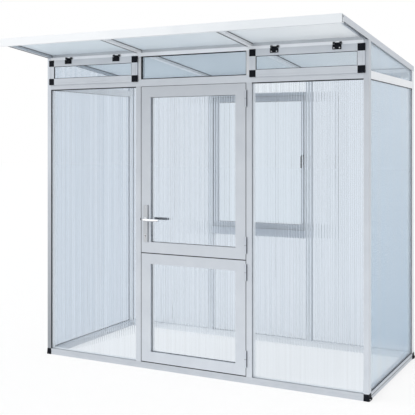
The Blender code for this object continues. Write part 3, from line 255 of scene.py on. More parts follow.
# Rubber of the seals and gaskets, with a fine moulded grain: black round the door, the vents, the
# fanlight, the side sheets and the window's glass, grey at the roof sheets and round the window's sash,
# and pale round the other panes.
def grained(name, dark, light, rough, scale, detail=3.0, metal=0.0, shine=0.5, relief=None):
    """A fine-grained material. rough has two values of roughness, relief a bump's strength and depth."""
    made, tree, shader = new_material(name)
    grain = noise(tree, object_place(tree), scale, detail)
    tree.links.new(shades(tree, grain, dark, light), shader.inputs["Base Color"])
    tree.links.new(ranged(tree, grain, *rough), shader.inputs["Roughness"])
    shader.inputs["Metallic"].default_value = metal
    shader.inputs["Specular IOR Level"].default_value = shine
    if relief:
        add_relief(tree, grain, *relief)
    return made


def seal_rubber(name, dark, light):
    return grained(name, dark, light, (0.55, 0.75), 1200.0, detail=2.0, shine=0.15, relief=(0.2, 0.0002))


rubber = seal_rubber("black seal rubber", (0.02, 0.022, 0.025), (0.035, 0.038, 0.042))
grey_rubber = seal_rubber("grey seal rubber", (0.17, 0.18, 0.195), (0.22, 0.23, 0.245))
pale_rubber = seal_rubber("pale seal rubber", (0.34, 0.36, 0.38), (0.4, 0.42, 0.44))


# Base rails: extruded aluminium profiles that lie on the footing between the feet. In each side rail a black
# strip in the shadow groove along its outside is painted shade, where the groove is shaded.
def run_along(shape, outline, axis, start, end):
    """Adds a closed bar to a mesh: an outline in the two other axes, run along axis from start to end."""
    rows = []
    for reach in (start, end):
        corners = []
        for first, second in outline:
            place = [first, second]
            place.insert("XYZ".index(axis), reach)
            corners.append(shape.verts.new(place))
        rows.append(corners)
    near, far = rows
    shape.faces.new(near)
    shape.faces.new(far)
    for index, corner in enumerate(near):
        after = (index + 1) % len(near)
        shape.faces.new([corner, near[after], far[after], far[index]])


def new_piece(name, shape, material, body, rounding=0.0):
    """Makes the mesh a piece that rides on a body, with its sharp edges rounded where rounding is given."""
    bmesh.ops.recalc_face_normals(shape, faces=shape.faces)
    mesh = bpy.data.meshes.new(name)
    shape.to_mesh(mesh)
    shape.free()
    mesh.materials.append(material)
    piece = bpy.data.objects.new(name, mesh)
    scene.collection.objects.link(piece)
    if rounding:
        bevel = piece.modifiers.new("rounded edges", "BEVEL")
        bevel.width = rounding
        bevel.segments = 2
        bevel.limit_method = "ANGLE"
    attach(piece, body)
    return piece


FRONT = -0.33
BACK = 0.84
SIDE = 1.25
FRAME_DEPTH = 0.05
INNER_FRONT = FRONT + FRAME_DEPTH
INNER_BACK = BACK - FRAME_DEPTH
GROOVE_SHADE_RANGE = (0.0206, 0.0254)
GROOVE_SHADE_SETBACK = 0.0005
GROOVE_SHADE_DEPTH = 0.0015
groove_shade = bmesh.new()
for side in (-1, 1):
    near = side * (SIDE - GROOVE_SHADE_SETBACK)
    deep = side * (SIDE - GROOVE_SHADE_DEPTH)
    low, high = GROOVE_SHADE_RANGE
    run_along(groove_shade, [(near, low), (near, high), (deep, high), (deep, low)], "Y", INNER_FRONT, INNER_BACK)
new_piece("base_rail_inserts", groove_shade, rubber, "frame")

# Feet: moulded corner blocks of black nylon that plug into the ends of two base rails and carry a corner
# post. A steel screw goes into each foot's lug from the front or the rear.
nylon = grained("black nylon", (0.002, 0.003, 0.006), (0.006, 0.008, 0.013), (0.5, 0.7), 700.0,
                detail=2.0, shine=0.12, relief=(0.25, 0.0003))
screw_steel = grained("zinc-plated steel", (0.66, 0.67, 0.69), (0.82, 0.83, 0.85), (0.2, 0.35), 900.0,
                      metal=0.85)


def turned(shape, centre, facing, profile, steps=16):
    """Adds a turned solid. The profile runs from end to end as (radius, reach along facing)."""
    centre = Vector(centre)
    facing = Vector(facing).normalized()
    across = facing.orthogonal().normalized()
    beside = facing.cross(across)
    rings = []
    for radius, reach in profile:
        middle = centre + facing * reach
        if radius == 0:
            rings.append([shape.verts.new(middle)] * steps)
            continue
        ring = []
        for step in range(steps):
            angle = 2 * math.pi * step / steps
            spoke = math.cos(angle) * across + math.sin(angle) * beside
            ring.append(shape.verts.new(middle + radius * spoke))
        rings.append(ring)
    for lower, upper in zip(rings, rings[1:]):
        for step in range(steps):
            after = (step + 1) % steps
            corners = [lower[step], lower[after], upper[after], upper[step]]
            shape.faces.new(list(dict.fromkeys(corners)))


def screw(shape, centre, facing, radius):
    """Adds a pan-head screw with a round socket."""
    turned(shape, centre, facing, [(0, -0.4 * radius), (radius, -0.4 * radius), (radius, 0.3 * radius),
                                   (0.8 * radius, 0.55 * radius), (0.45 * radius, 0.6 * radius),
                                   (0.4 * radius, 0.2 * radius), (0, 0.2 * radius)])


LUG_HEIGHT = 0.011
LUG_X = 1.2565
LUG_SETBACK = 0.01
FOOT_SCREW = 0.004
foot_screws = bmesh.new()
for row, lug_y, outwards in (("front", FRONT + LUG_SETBACK, -1), ("back", BACK - LUG_SETBACK, 1)):
    for hand, side in (("left", -1), ("right", 1)):
        finish(f"foot_{row}_{hand}", nylon)
        screw(foot_screws, (side * LUG_X, lug_y, LUG_HEIGHT), (0, outwards, 0), FOOT_SCREW)
new_piece("foot_screws", foot_screws, screw_steel, "frame")


# Wall glazing: fluted polycarbonate sheets stand in the profiles' grooves all round, between rubber
# gaskets. The front bays and the door leaves have ribbed sheets, which blur what is behind them sideways.
def clear_plastic(name, tint, shine, body=(0.86, 0.9, 0.94), grazing=0.25, rough=0.02, passed=1.0):
    """To the camera it has a tint, and shine as the share of its surface that shows; passed is the share of
    the lamps' light that each face lets through."""
    made, tree, shader = new_material(name)
    smears = noise(tree, object_place(tree), 3.5, 5.0)
    shader.inputs["Base Color"].default_value = (*body, 1.0)
    tree.links.new(ranged(tree, smears, rough, rough + 0.07), shader.inputs["Roughness"])
    through = added(tree, "ShaderNodeBsdfTransparent", Color=(*tint, 1.0))
    edge = added(tree, "ShaderNodeLayerWeight", Blend=0.12).outputs["Fresnel"]
    share = ranged(tree, edge, shine, grazing)
    seen = added(tree, "ShaderNodeMixShader", i0=share, i1=through.outputs[0], i2=shader.outputs[0])
    lit = added(tree, "ShaderNodeBsdfTransparent", Color=(passed, passed, passed, 1.0))
    mix = added(tree, "ShaderNodeMixShader", i0=seen_directly(tree), i1=lit.outputs[0], i2=seen.outputs[0])
    tree.links.new(mix.outputs[0], tree.nodes["Material Output"].inputs["Surface"])
    return made


def ribbed_plastic(name, tint):
    made, tree, shader = new_material(name)
    place = object_place(tree)
    smears = noise(tree, place, 3.5, 5.0)
    bands = noise(tree, stretched(tree, place, (60.0, 60.0, 0.2)), 1.0)
    darker = [share * 0.97 for share in tint]
    lighter = [share * 1.02 for share in tint]
    tree.links.new(shades(tree, bands, darker, lighter), shader.inputs["Base Color"])
    shader.inputs["Transmission Weight"].default_value = 1.0
    shader.inputs["IOR"].default_value = 1.45
    tree.links.new(ranged(tree, smears, 0.0, 0.012), shader.inputs["Roughness"])
    lit = added(tree, "ShaderNodeBsdfTransparent", Color=(1.0, 1.0, 1.0, 1.0))
    mix = added(tree, "ShaderNodeMixShader", i0=seen_directly(tree), i1=lit.outputs[0], i2=shader.outputs[0])
    tree.links.new(mix.outputs[0], tree.nodes["Material Output"].inputs["Surface"])
    return made


ribbed_clear = ribbed_plastic("ribbed polycarbonate", (0.82, 0.865, 0.91))
RIB_PITCH = 0.0185
RIB_WIDTH = 0.0065
RIB_RISE = 0.001
RIB_STEPS = 12


def ribbed_sheet(name, node, body):
    """A clear sheet with low round ribs up its outer face, flat inside."""
    low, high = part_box(node)
    ribs = round((high.x - low.x) / RIB_PITCH)
    pitch = (high.x - low.x) / ribs
    line = [(low.x, 0.0)]
    for index in range(ribs):
        middle = low.x + (index + 0.5) * pitch
        for step in range(RIB_STEPS + 1):
            share = step / RIB_STEPS
            rise = RIB_RISE * (1 - math.cos(2 * math.pi * share)) / 2
            line.append((middle + (share - 0.5) * RIB_WIDTH, rise))
    line.append((high.x, 0.0))
    shape = bmesh.new()
    columns = []
    for x, rise in line:
        outer = low.y + RIB_RISE - rise
        columns.append([shape.verts.new((x, y, z)) for y, z in ((outer, low.z), (outer, high.z),
                                                               (high.y, high.z), (high.y, low.z))])
    for before, after in zip(columns, columns[1:]):
        for index in range(4):
            other = (index + 1) % 4
            shape.faces.new([before[index], after[index], after[other], before[other]])
    shape.faces.new(columns[0])
    shape.faces.new(columns[-1])
    sheet = new_piece(name, shape, ribbed_clear, body)
    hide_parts(node)


for hand in ("left", "right"):
    ribbed_sheet(f"front_sheet_{hand}", f"front_pane_{hand}", "frame")
ribbed_sheet("upper_leaf_sheet", "upper_leaf_glass", "upper_leaf")
ribbed_sheet("lower_leaf_sheet", "lower_leaf_glass", "lower_leaf")

# The fluted sheets are two thin skins with webs between them. Their flutes run upright in the walls, and
# down the slope in the roof.
SKIN = 0.0007
WEB = 0.0005
FLUTE_PITCH = 0.016


def streaks(tree, repeats, dark, light):
    """Faint upright bands in a side wall's sheet. repeats is about how many there are in a metre."""
    upright_bands = stretched(tree, object_place(tree), (0.0, repeats, 0.1))
    return shades(tree, noise(tree, upright_bands, 1.0), dark, light)


def rising(tree, direction):
    """A value that grows along a direction in the building."""
    return added(tree, "ShaderNodeVectorMath", {"operation": "DOT_PRODUCT"}, i0=object_place(tree),
                 i1=direction).outputs["Value"]


left_skin = clear_plastic("left sheet skin", (0.936, 0.948, 0.963), 0.012)
left_tree = left_skin.node_tree
left_tint = streaks(left_tree, 22.0, (0.905, 0.922, 0.942), (0.962, 0.97, 0.98))
left_tree.links.new(left_tint, left_tree.nodes["Transparent BSDF"].inputs["Color"])

# The right wall's sheets look bluer. Their tint has painted shade: darker and bluer above a line that rises
# to the rear near their foot, for the darker rear wall behind them, and paler below it, where the floor shows
# through.
side_skin = clear_plastic("right sheet skin", (0.962, 0.972, 0.983), 0.012)
side_tree = side_skin.node_tree
side_shade_ramp = added(side_tree, "ShaderNodeValToRGB", Fac=rising(side_tree, (0, 0.1, 0.4)))
for element, reach, colour in ((0, 0.07, (0.955, 0.964, 0.974)), (1, 0.85, (0.958, 0.97, 0.982))):
    side_shade_ramp.color_ramp.elements[element].position = reach
    side_shade_ramp.color_ramp.elements[element].color = (*colour, 1.0)
side_shade_ramp.color_ramp.elements.new(0.13).color = (0.88, 0.914, 0.942, 1.0)
side_streaks = streaks(side_tree, 9.0, (0.965, 0.985, 1.0), (1.0, 0.995, 0.985))
side_tint = added(side_tree, "ShaderNodeVectorMath", {"operation": "MULTIPLY"}, i0=side_shade_ramp.outputs["Color"],
                  i1=side_streaks).outputs[0]
side_tree.links.new(side_tint, side_tree.nodes["Transparent BSDF"].inputs["Color"])
rear_skin = clear_plastic("rear sheet skin", (0.955, 0.963, 0.973), 0.01)
strip_skin = clear_plastic("window top sheet skin", (0.99, 0.993, 0.996), 0.01)
web_plastic = clear_plastic("sheet web", (0.96, 0.97, 0.98), 0.02)


def twin_wall(name, node, across, thick, start, end, placed, skin):
    """A fluted sheet. across and thick are its ranges, start and end give where its flutes begin and end,
    and placed turns a place across, through and along them into the building's x, y and z."""
    flutes = round((across[1] - across[0]) / FLUTE_PITCH)
    pitch = (across[1] - across[0] - WEB) / flutes
    columns = []
    for index in range(flutes + 1):
        columns += [across[0] + index * pitch, across[0] + index * pitch + WEB]
    rows = [thick[0], thick[0] + SKIN, thick[1] - SKIN, thick[1]]
    shape = bmesh.new()
    corners = {}
    for column, column_at in enumerate(columns):
        for row, row_at in enumerate(rows):
            corners[column, row, 0] = shape.verts.new(placed(column_at, row_at, start(column_at)))
            corners[column, row, 1] = shape.verts.new(placed(column_at, row_at, end(column_at)))

    def solid(column, row):
        inside = 0 <= column < len(columns) - 1 and 0 <= row < 3
        return inside and (row != 1 or column % 2 == 0)

    for column in range(len(columns) - 1):
        for row in range(3):
            if not solid(column, row):
                continue
            cell = [(column, row), (column + 1, row), (column + 1, row + 1), (column, row + 1)]
            for tip in (0, 1):
                shape.faces.new([corners[(*corner, tip)] for corner in cell])
            beside = [(column, row - 1), (column + 1, row), (column, row + 1), (column - 1, row)]
            for index, other in enumerate(beside):
                if not solid(*other):
                    first, second = cell[index], cell[(index + 1) % 4]
                    wall = shape.faces.new([corners[(*first, 0)], corners[(*second, 0)],
                                            corners[(*second, 1)], corners[(*first, 1)]])
                    wall.material_index = 1 if row == 1 else 0
    made = new_piece(name, shape, skin, "frame")
    made.data.materials.append(web_plastic)
    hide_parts(node)


# A sheet's end is level, or falls with the roof. The rear wall's sheets stand across the building, and a
# side wall's along it.
def level(height):
    return lambda across: height


def upright(across, through, along):
    return (across, through, along)


def sideways(across, through, along):
    return (through, across, along)


ROOF_FALL = 0.0971
for hand, skin in (("left", left_skin), ("right", side_skin)):
    low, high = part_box(f"side_pane_{hand}")
    twin_wall(f"side_sheet_{hand}", f"side_pane_{hand}", (low.y, high.y), (low.x, high.x), level(low.z),
              level(high.z), sideways, skin)
    low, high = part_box(f"gable_pane_{hand}")
    twin_wall(f"gable_sheet_{hand}", f"gable_pane_{hand}", (low.y, high.y), (low.x, high.x), level(low.z),
              lambda y: high.z - ROOF_FALL * (y - low.y), sideways, skin)
    low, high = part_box(f"back_pane_{hand}")
    twin_wall(f"back_sheet_{hand}", f"back_pane_{hand}", (low.x, high.x), (low.y, high.y), level(low.z),
              level(high.z), upright, rear_skin)
for name, node, skin in (("breast_sheet", "window_breast_pane", rear_skin),
                         ("window_top_sheet", "window_top_pane", strip_skin)):
    low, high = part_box(node)
    twin_wall(name, node, (low.x, high.x), (low.y, high.y), level(low.z), level(high.z), upright, skin)

# Fanlight: one pane of float glass stands in the frame's grooves over the door. Its tint, like that of the
# right vent's pane, is a little deeper than that of the left vent's and the window's.
fanlight_glass = clear_plastic("tinted float glass", (0.88, 0.908, 0.93), 0.02)
finish("door_fanlight", fanlight_glass)


# Gaskets and painted shade strips: a wedge of rubber is pushed in on each side of every pane, between the
# pane and its groove. Flat black strips under the transom in the front bays and along the left corner post
# are painted shade.
def run_round(shape, corners, facing, section):
    """Adds a closed loop with mitred corners. A section point is (inwards from the corners' outline, out
    along facing)."""
    facing = Vector(facing)
    corners = [Vector(corner) for corner in corners]
    turn = sum((corners[index - 1].cross(corner) for index, corner in enumerate(corners)), Vector())
    if turn.dot(facing) < 0:
        corners.reverse()
    rows = []
    for index, corner in enumerate(corners):
        before = facing.cross((corner - corners[index - 1]).normalized())
        after = facing.cross((corners[(index + 1) % len(corners)] - corner).normalized())
        mitre = (before + after) / (1 + before.dot(after))
        rows.append([shape.verts.new(corner + mitre * inwards + facing * out) for inwards, out in section])
    for index, row in enumerate(rows):
        following = rows[(index + 1) % len(rows)]
        for point in range(len(section)):
            after = (point + 1) % len(section)
            shape.faces.new([row[point], following[point], following[after], row[after]])


PANE_SETBACK = 0.008
PANE = 0.01
GASKET_WIDTH = 0.002
THIN_GASKET = 0.001
SIDE_GASKET = 0.003
FANLIGHT_GASKET = 0.006
GASKET_DEPTH = 0.003
GASKET_LIP = 0.001


def gaskets(name, corners, facing, body, material, width=GASKET_WIDTH, setback=PANE_SETBACK, pane=PANE):
    """Both gaskets of one pane. The corners are those of the opening, in the plane of the frame's face."""
    shape = bmesh.new()
    back = setback + pane
    outer = [(0, GASKET_DEPTH - setback), (width, GASKET_LIP - setback), (width, -setback), (0, -setback)]
    inner = [(0, -back - GASKET_DEPTH), (width, -back - GASKET_LIP), (width, -back), (0, -back)]
    run_round(shape, corners, facing, outer)
    run_round(shape, corners, facing, inner)
    new_piece(name, shape, material, body)


def upright_corners(x_low, x_high, y, z_low, z_high):
    return [(x_low, y, z_low), (x_high, y, z_low), (x_high, y, z_high), (x_low, y, z_high)]


CORNER_INNER = 1.217
POST_OUTER = 0.455
POST_INNER = 0.414
BASE_TOP = 0.0435
TRANSOM_BOTTOM = 2.0065
TRANSOM_TOP = 2.0565
HEAD_BOTTOM = 2.221
WINDOW_BOTTOM = 0.848
WINDOW_TOP = 2.0062
REAR_TRANSOM_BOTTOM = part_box("transom_back")[0].z
OUTWARDS = {"front": (0, -1, 0), "back": (0, 1, 0)}
SIDE_BAYS = (("left", -CORNER_INNER, -POST_OUTER), ("right", POST_OUTER, CORNER_INNER))
for row, face, top in (("front", FRONT, TRANSOM_BOTTOM), ("back", BACK, REAR_TRANSOM_BOTTOM)):
    for hand, x_low, x_high in SIDE_BAYS:
        opening = upright_corners(x_low, x_high, face, BASE_TOP, top)
        gaskets(f"{row}_gaskets_{hand}", opening, OUTWARDS[row], "frame", pale_rubber, THIN_GASKET)
gaskets("fanlight_gaskets", upright_corners(-POST_INNER, POST_INNER, FRONT, TRANSOM_TOP, HEAD_BOTTOM),
        OUTWARDS["front"], "frame", rubber, FANLIGHT_GASKET)
gaskets("breast_gaskets", upright_corners(-POST_INNER, POST_INNER, BACK, BASE_TOP, WINDOW_BOTTOM),
        OUTWARDS["back"], "frame", pale_rubber)
gaskets("window_top_gaskets", upright_corners(-POST_INNER, POST_INNER, BACK, WINDOW_TOP, REAR_TRANSOM_BOTTOM),
        OUTWARDS["back"], "frame", pale_rubber)


def add_block(shape, x, y, z):
    run_along(shape, [(x[0], y[0]), (x[1], y[0]), (x[1], y[1]), (x[0], y[1])], "Z", *z)


# Painted shade: flat black strips where shade falls under the transom and beside the left corner post.
STRIP_WIDTH = 0.003
STRIP_HEIGHT = 0.007
STRIP_TOP = TRANSOM_BOTTOM - 0.0005
strip_depth = (FRONT + 0.0012, FRONT + 0.0075)
front_shade_strips = bmesh.new()
add_block(front_shade_strips, (-CORNER_INNER, STRIP_WIDTH - CORNER_INNER), strip_depth,
          (BASE_TOP, STRIP_TOP - STRIP_HEIGHT))
for hand, x_low, x_high in SIDE_BAYS:
    add_block(front_shade_strips, (x_low, x_high), strip_depth, (STRIP_TOP - STRIP_HEIGHT, STRIP_TOP))
new_piece("front_shade_strips", front_shade_strips, rubber, "frame")

# Glazing beads: white PVC strips snap into the inner side of each front opening, behind the inner gasket, and
# hold its sheet. The door's leaves have them too. Their white is also painted light: it keeps the reveal
# behind each sheet bright, where it would show in shade.
bead_pvc_painted_light = grained("bead PVC white as painted light", (0.86, 0.88, 0.9), (0.93, 0.945, 0.96), (0.35, 0.5), 300.0)
BEAD_WIDTH = 0.0015
BEAD_CHAMFER = 0.001
BEAD_START = PANE_SETBACK + PANE + GASKET_DEPTH
BEAD_END = FRAME_DEPTH - 0.0005


def glazing_beads(name, corners, body, start, end):
    """The beads of one opening, from start to end behind the frame's face."""
    beads = bmesh.new()
    section = [(0, -start), (0.8 * BEAD_WIDTH, -start), (BEAD_WIDTH, -start - BEAD_CHAMFER),
               (BEAD_WIDTH, -end), (0, -end)]
    run_round(beads, corners, OUTWARDS["front"], section)
    new_piece(name, beads, bead_pvc_painted_light, body)


for hand, x_low, x_high in SIDE_BAYS:
    opening = upright_corners(x_low, x_high, FRONT, BASE_TOP, TRANSOM_BOTTOM)
    glazing_beads(f"front_beads_{hand}", opening, "frame", BEAD_START, BEAD_END)

# Side and gable openings: their sheets stand between rubber gaskets too. The top edge of each gable
# opening falls to the rear with the roof.
ROOF_UNDERSIDE = 2.248
for hand, side in (("left", -1), ("right", 1)):
    face = side * SIDE
    opening = [(face, INNER_FRONT, BASE_TOP), (face, INNER_BACK, BASE_TOP),
               (face, INNER_BACK, TRANSOM_BOTTOM), (face, INNER_FRONT, TRANSOM_BOTTOM)]
    gaskets(f"side_gaskets_{hand}", opening, (side, 0, 0), "frame", rubber, SIDE_GASKET)
    gable_top = [ROOF_UNDERSIDE - ROOF_FALL * (y - FRONT) for y in (INNER_FRONT, INNER_BACK)]
    opening = [(face, INNER_FRONT, TRANSOM_TOP), (face, INNER_BACK, TRANSOM_TOP),
               (face, INNER_BACK, gable_top[1]), (face, INNER_FRONT, gable_top[0])]
    gaskets(f"gable_gaskets_{hand}", opening, (side, 0, 0), "frame", pale_rubber, THIN_GASKET)

# Roof: fluted opal sheets lie between two verges and two bars of aluminium, which fall to the rear. Grey
# seals run along each sheet's long edges and its rear end. The sheets shade what is under them a little.
roof_skin = clear_plastic("roof sheet skin", (0.9, 0.925, 0.945), 0.75, body=(0.78, 0.85, 0.90),
                          grazing=0.85, rough=0.6, passed=0.88)
roof_tree = roof_skin.node_tree
# The sheets' underside is painted paler towards the right: painted light.
roof_light_ramp = shades(roof_tree, rising(roof_tree, (0.4, 0, 0)), (0.76, 0.84, 0.90), (0.93, 0.96, 0.98),
                   0.0, 0.4)
roof_tree.links.new(roof_light_ramp, roof_tree.nodes["Principled BSDF"].inputs["Base Color"])
FASCIA_BACK = FRONT - 0.495
ROOF_PANE_LIFT = 0.021
ROOF_PANE_TOP = 0.031
for hand in ("left", "right"):
    finish(f"roof_verge_{hand}", aluminium["Y"])
    finish(f"roof_bar_{hand}", painted_light_aluminium["Y"])
finish("roof_rear_rail", painted_light_aluminium["X"])
for bay in ("left", "middle", "right"):
    low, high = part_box(f"roof_pane_{bay}")
    thickness = high.z - low.z - ROOF_FALL * (high.y - low.y)
    twin_wall(f"roof_sheet_{bay}", f"roof_pane_{bay}", (low.x, high.x), (0, thickness), level(low.y),
              level(high.y), lambda x, lift, y: (x, y, low.z + lift + ROOF_FALL * (high.y - y)), roof_skin)


def pitched(shape):
    """Lowers a mesh towards the rear with the roof. Its heights were above the verges' underside."""
    for corner in shape.verts:
        corner.co.z += ROOF_UNDERSIDE - ROOF_FALL * (corner.co.y - FRONT)
    return shape


SEAL_WIDTH = 0.004
SEAL_START = 0.015
SEAL_SLOPE = 0.003
SEAL_LIP = 0.002
REAR_SEAL = 0.003
ROOF_BAYS = ((-CORNER_INNER, -POST_OUTER), (-POST_INNER, POST_INNER), (POST_OUTER, CORNER_INNER))
roof_seals = bmesh.new()
for x_low, x_high in ROOF_BAYS:
    for edge, inwards in ((x_low, 1), (x_high, -1)):
        lip = edge + inwards * SEAL_WIDTH
        below = [(edge, SEAL_START), (lip, SEAL_START + SEAL_SLOPE), (lip, ROOF_PANE_LIFT),
                 (edge, ROOF_PANE_LIFT)]
        above = [(edge, ROOF_PANE_TOP), (lip, ROOF_PANE_TOP), (lip, ROOF_PANE_TOP + SEAL_LIP),
                 (edge, ROOF_PANE_TOP + SEAL_LIP + SEAL_SLOPE)]
        run_along(roof_seals, below, "Y", FASCIA_BACK, INNER_BACK)
        run_along(roof_seals, above, "Y", FASCIA_BACK, INNER_BACK)
    rear_seal = [(INNER_BACK - REAR_SEAL, ROOF_PANE_LIFT - 2 * REAR_SEAL),
                 (INNER_BACK, ROOF_PANE_LIFT - 2 * REAR_SEAL), (INNER_BACK, ROOF_PANE_LIFT),
                 (INNER_BACK - REAR_SEAL, ROOF_PANE_LIFT)]
    run_along(roof_seals, rear_seal, "X", x_low + SEAL_WIDTH, x_high - SEAL_WIDTH)
new_piece("roof_seals", pitched(roof_seals), grey_rubber, "frame")

# Painted shade under the roof: flat grey rubber strips under the left flange of both roof bars where they
# overhang, and under the outer edge of both verges, darken them where shade falls.
SHADE_STRIP_THICKNESS = 0.001
BAR_SHADE_WIDTH = 0.012
VERGE_SHADE = (SIDE - 0.0003, SIDE - 0.006)
shade_edges = [(bar_edge, bar_edge + BAR_SHADE_WIDTH) for bar_edge in (-POST_OUTER, POST_INNER)]
shade_edges += [(side * VERGE_SHADE[0], side * VERGE_SHADE[1]) for side in (-1, 1)]
roof_shade_strips = bmesh.new()
for edge, other_edge in shade_edges:
    strip = [(edge, -SHADE_STRIP_THICKNESS), (other_edge, -SHADE_STRIP_THICKNESS), (other_edge, 0), (edge, 0)]
    run_along(roof_shade_strips, strip, "Y", FASCIA_BACK, FRONT)
new_piece("roof_shade_strips", pitched(roof_shade_strips), grey_rubber, "frame")

# Fascia: a hollow aluminium profile with a pale baked coating, painted a little paler towards the left end as
# painted light from the stronger lamp on the left. It closes the front of the roof, and the roof sheets'
# front edges stand in a groove along its back.
fascia_paint, fascia_tree, fascia_shader = new_material("pale coated aluminium")
fascia_place = object_place(fascia_tree)
fascia_clouds_and_light = computed(fascia_tree, "MULTIPLY_ADD", noise(fascia_tree, fascia_place, 4.0, 4.0), 0.25,
                       rising(fascia_tree, (-0.2, 0, 0)))
fascia_tree.links.new(shades(fascia_tree, fascia_clouds_and_light, (0.735, 0.765, 0.79), (0.86, 0.875, 0.89), -0.1, 0.2),
                      fascia_shader.inputs["Base Color"])
add_relief(fascia_tree, noise(fascia_tree, fascia_place, 900.0, 2.0), 0.1, 0.0001)
fascia_shader.inputs["Roughness"].default_value = 0.42
finish("roof_fascia", fascia_paint)

# Head filler: an aluminium strip closes the gap between the front head rail and the roof sheets in all
# three bays.
FILLER_FRONT = FRONT + 0.008
FILLER_BACK = FRONT + 0.018
FILLER_LIP = 0.003
FILLER_HEIGHT = 0.0207
filler_section = [(FILLER_FRONT, 0.0), (FILLER_FRONT - FILLER_LIP, 0.0),
                  (FILLER_FRONT - FILLER_LIP, FILLER_LIP), (FILLER_FRONT, FILLER_LIP + 0.001),
                  (FILLER_FRONT, FILLER_HEIGHT), (FILLER_BACK, FILLER_HEIGHT), (FILLER_BACK, 0.0)]
filler = bmesh.new()
for x_low, x_high in ROOF_BAYS:
    run_along(filler, filler_section, "X", x_low + SEAL_WIDTH, x_high - SEAL_WIDTH)
new_piece("head_filler", pitched(filler), shaded_aluminium, "frame")

# Door: two leaves of welded hollow section on butt hinges, each with a ribbed sheet in beads. Black rubber
# strips fill the gaps round them and lap over the lower leaf's top and foot, and a black strip fills the gap
# beside the hinges: these are painted shade in the gaps. A rubber stop runs round the doorway behind them.
LEAF_EDGE = 0.409
LEAF_FLOOR = 0.0465
LOWER_TOP = 0.8215
UPPER_FLOOR = 0.8245
UPPER_TOP = 2.0035
LEAF_OPENING = 0.333
LEAF_GLASS_SETBACK = 0.018
LEAF_GLASS = 0.006
LEAF_BEAD_START = 0.027
LEAF_BEAD_END = 0.0445
for leaf, z_low, z_high in (("upper", 0.9005, 1.9275), ("lower", 0.1225, 0.7455)):
    finish(f"{leaf}_leaf_frame", aluminium["Z"])
    leaf_opening = upright_corners(-LEAF_OPENING, LEAF_OPENING, FRONT, z_low, z_high)
    gaskets(f"{leaf}_leaf_gaskets", leaf_opening, OUTWARDS["front"], f"{leaf}_leaf", rubber, GASKET_WIDTH,
            LEAF_GLASS_SETBACK, LEAF_GLASS)
    glazing_beads(f"{leaf}_leaf_beads", leaf_opening, f"{leaf}_leaf", LEAF_BEAD_START, LEAF_BEAD_END)

SEAL_FRONT = FRONT + 0.0015
SEAL_BACK = FRONT + 0.03
seal_depth = (SEAL_FRONT, SEAL_BACK)
# The black blocks in the leaves' gaps and the lips over the lower leaf's edges are painted shade.
LATCH_GAP_SHADE = (-0.4135, -LEAF_EDGE)
HINGE_GAP_SHADE = (0.4094, 0.4137)
LATCH_RANGE = (1.044, 1.077)  # left open for the latch bolt
LEAF_GAP_SHADE = 0.0027
LIP_PROUD = 0.0006
LIP_OVER = 0.0012
LIP_UNDER = 0.0035
leaf_width = (-LEAF_EDGE, LEAF_EDGE)
leaf_gap_shade = bmesh.new()
add_block(leaf_gap_shade, LATCH_GAP_SHADE, seal_depth, (UPPER_FLOOR, LATCH_RANGE[0]))
add_block(leaf_gap_shade, LATCH_GAP_SHADE, seal_depth, (LATCH_RANGE[1], UPPER_TOP))
add_block(leaf_gap_shade, leaf_width, seal_depth, (UPPER_TOP, UPPER_TOP + LEAF_GAP_SHADE))
new_piece("upper_leaf_seals", leaf_gap_shade, rubber, "upper_leaf")
leaf_gap_shade = bmesh.new()
add_block(leaf_gap_shade, LATCH_GAP_SHADE, seal_depth, (LEAF_FLOOR, LOWER_TOP))
add_block(leaf_gap_shade, leaf_width, seal_depth, (LOWER_TOP, LOWER_TOP + LEAF_GAP_SHADE))
add_block(leaf_gap_shade, leaf_width, seal_depth, (LEAF_FLOOR - LEAF_GAP_SHADE, LEAF_FLOOR))
for lip_edge, inwards in ((LOWER_TOP, -1), (LEAF_FLOOR, 1)):
    add_block(leaf_gap_shade, leaf_width, (FRONT - LIP_PROUD, SEAL_FRONT),
              sorted((lip_edge - inwards * LIP_OVER, lip_edge + inwards * LIP_UNDER)))
new_piece("lower_leaf_seals", leaf_gap_shade, rubber, "lower_leaf")

door_stop = bmesh.new()
stop_outline = upright_corners(-POST_INNER, POST_INNER, FRONT, BASE_TOP, TRANSOM_BOTTOM)
stop_section = [(0.0002, -0.0455), (0.012, -0.0455), (0.012, -0.0485), (0.004, -0.0497), (0.0002, -0.0497)]
run_round(door_stop, stop_outline, OUTWARDS["front"], stop_section)
# A black block fills the gap beside the hinges as painted shadow.
add_block(door_stop, HINGE_GAP_SHADE, seal_depth, (LEAF_FLOOR, UPPER_TOP))
new_piece("door_stop", door_stop, rubber, "frame")

# Hinges of the leaves: a nylon washer between the two barrels, a black nylon strip in the corner beside them
# that is painted shade, and a steel cap on each end.
HINGE_X = 0.4115
HINGE_Y = FRONT - 0.008
HINGE_HALF = 0.055
KNUCKLE = 0.007
WASHER_RADIUS = KNUCKLE + 0.0006
WASHER_HALF = 0.0008
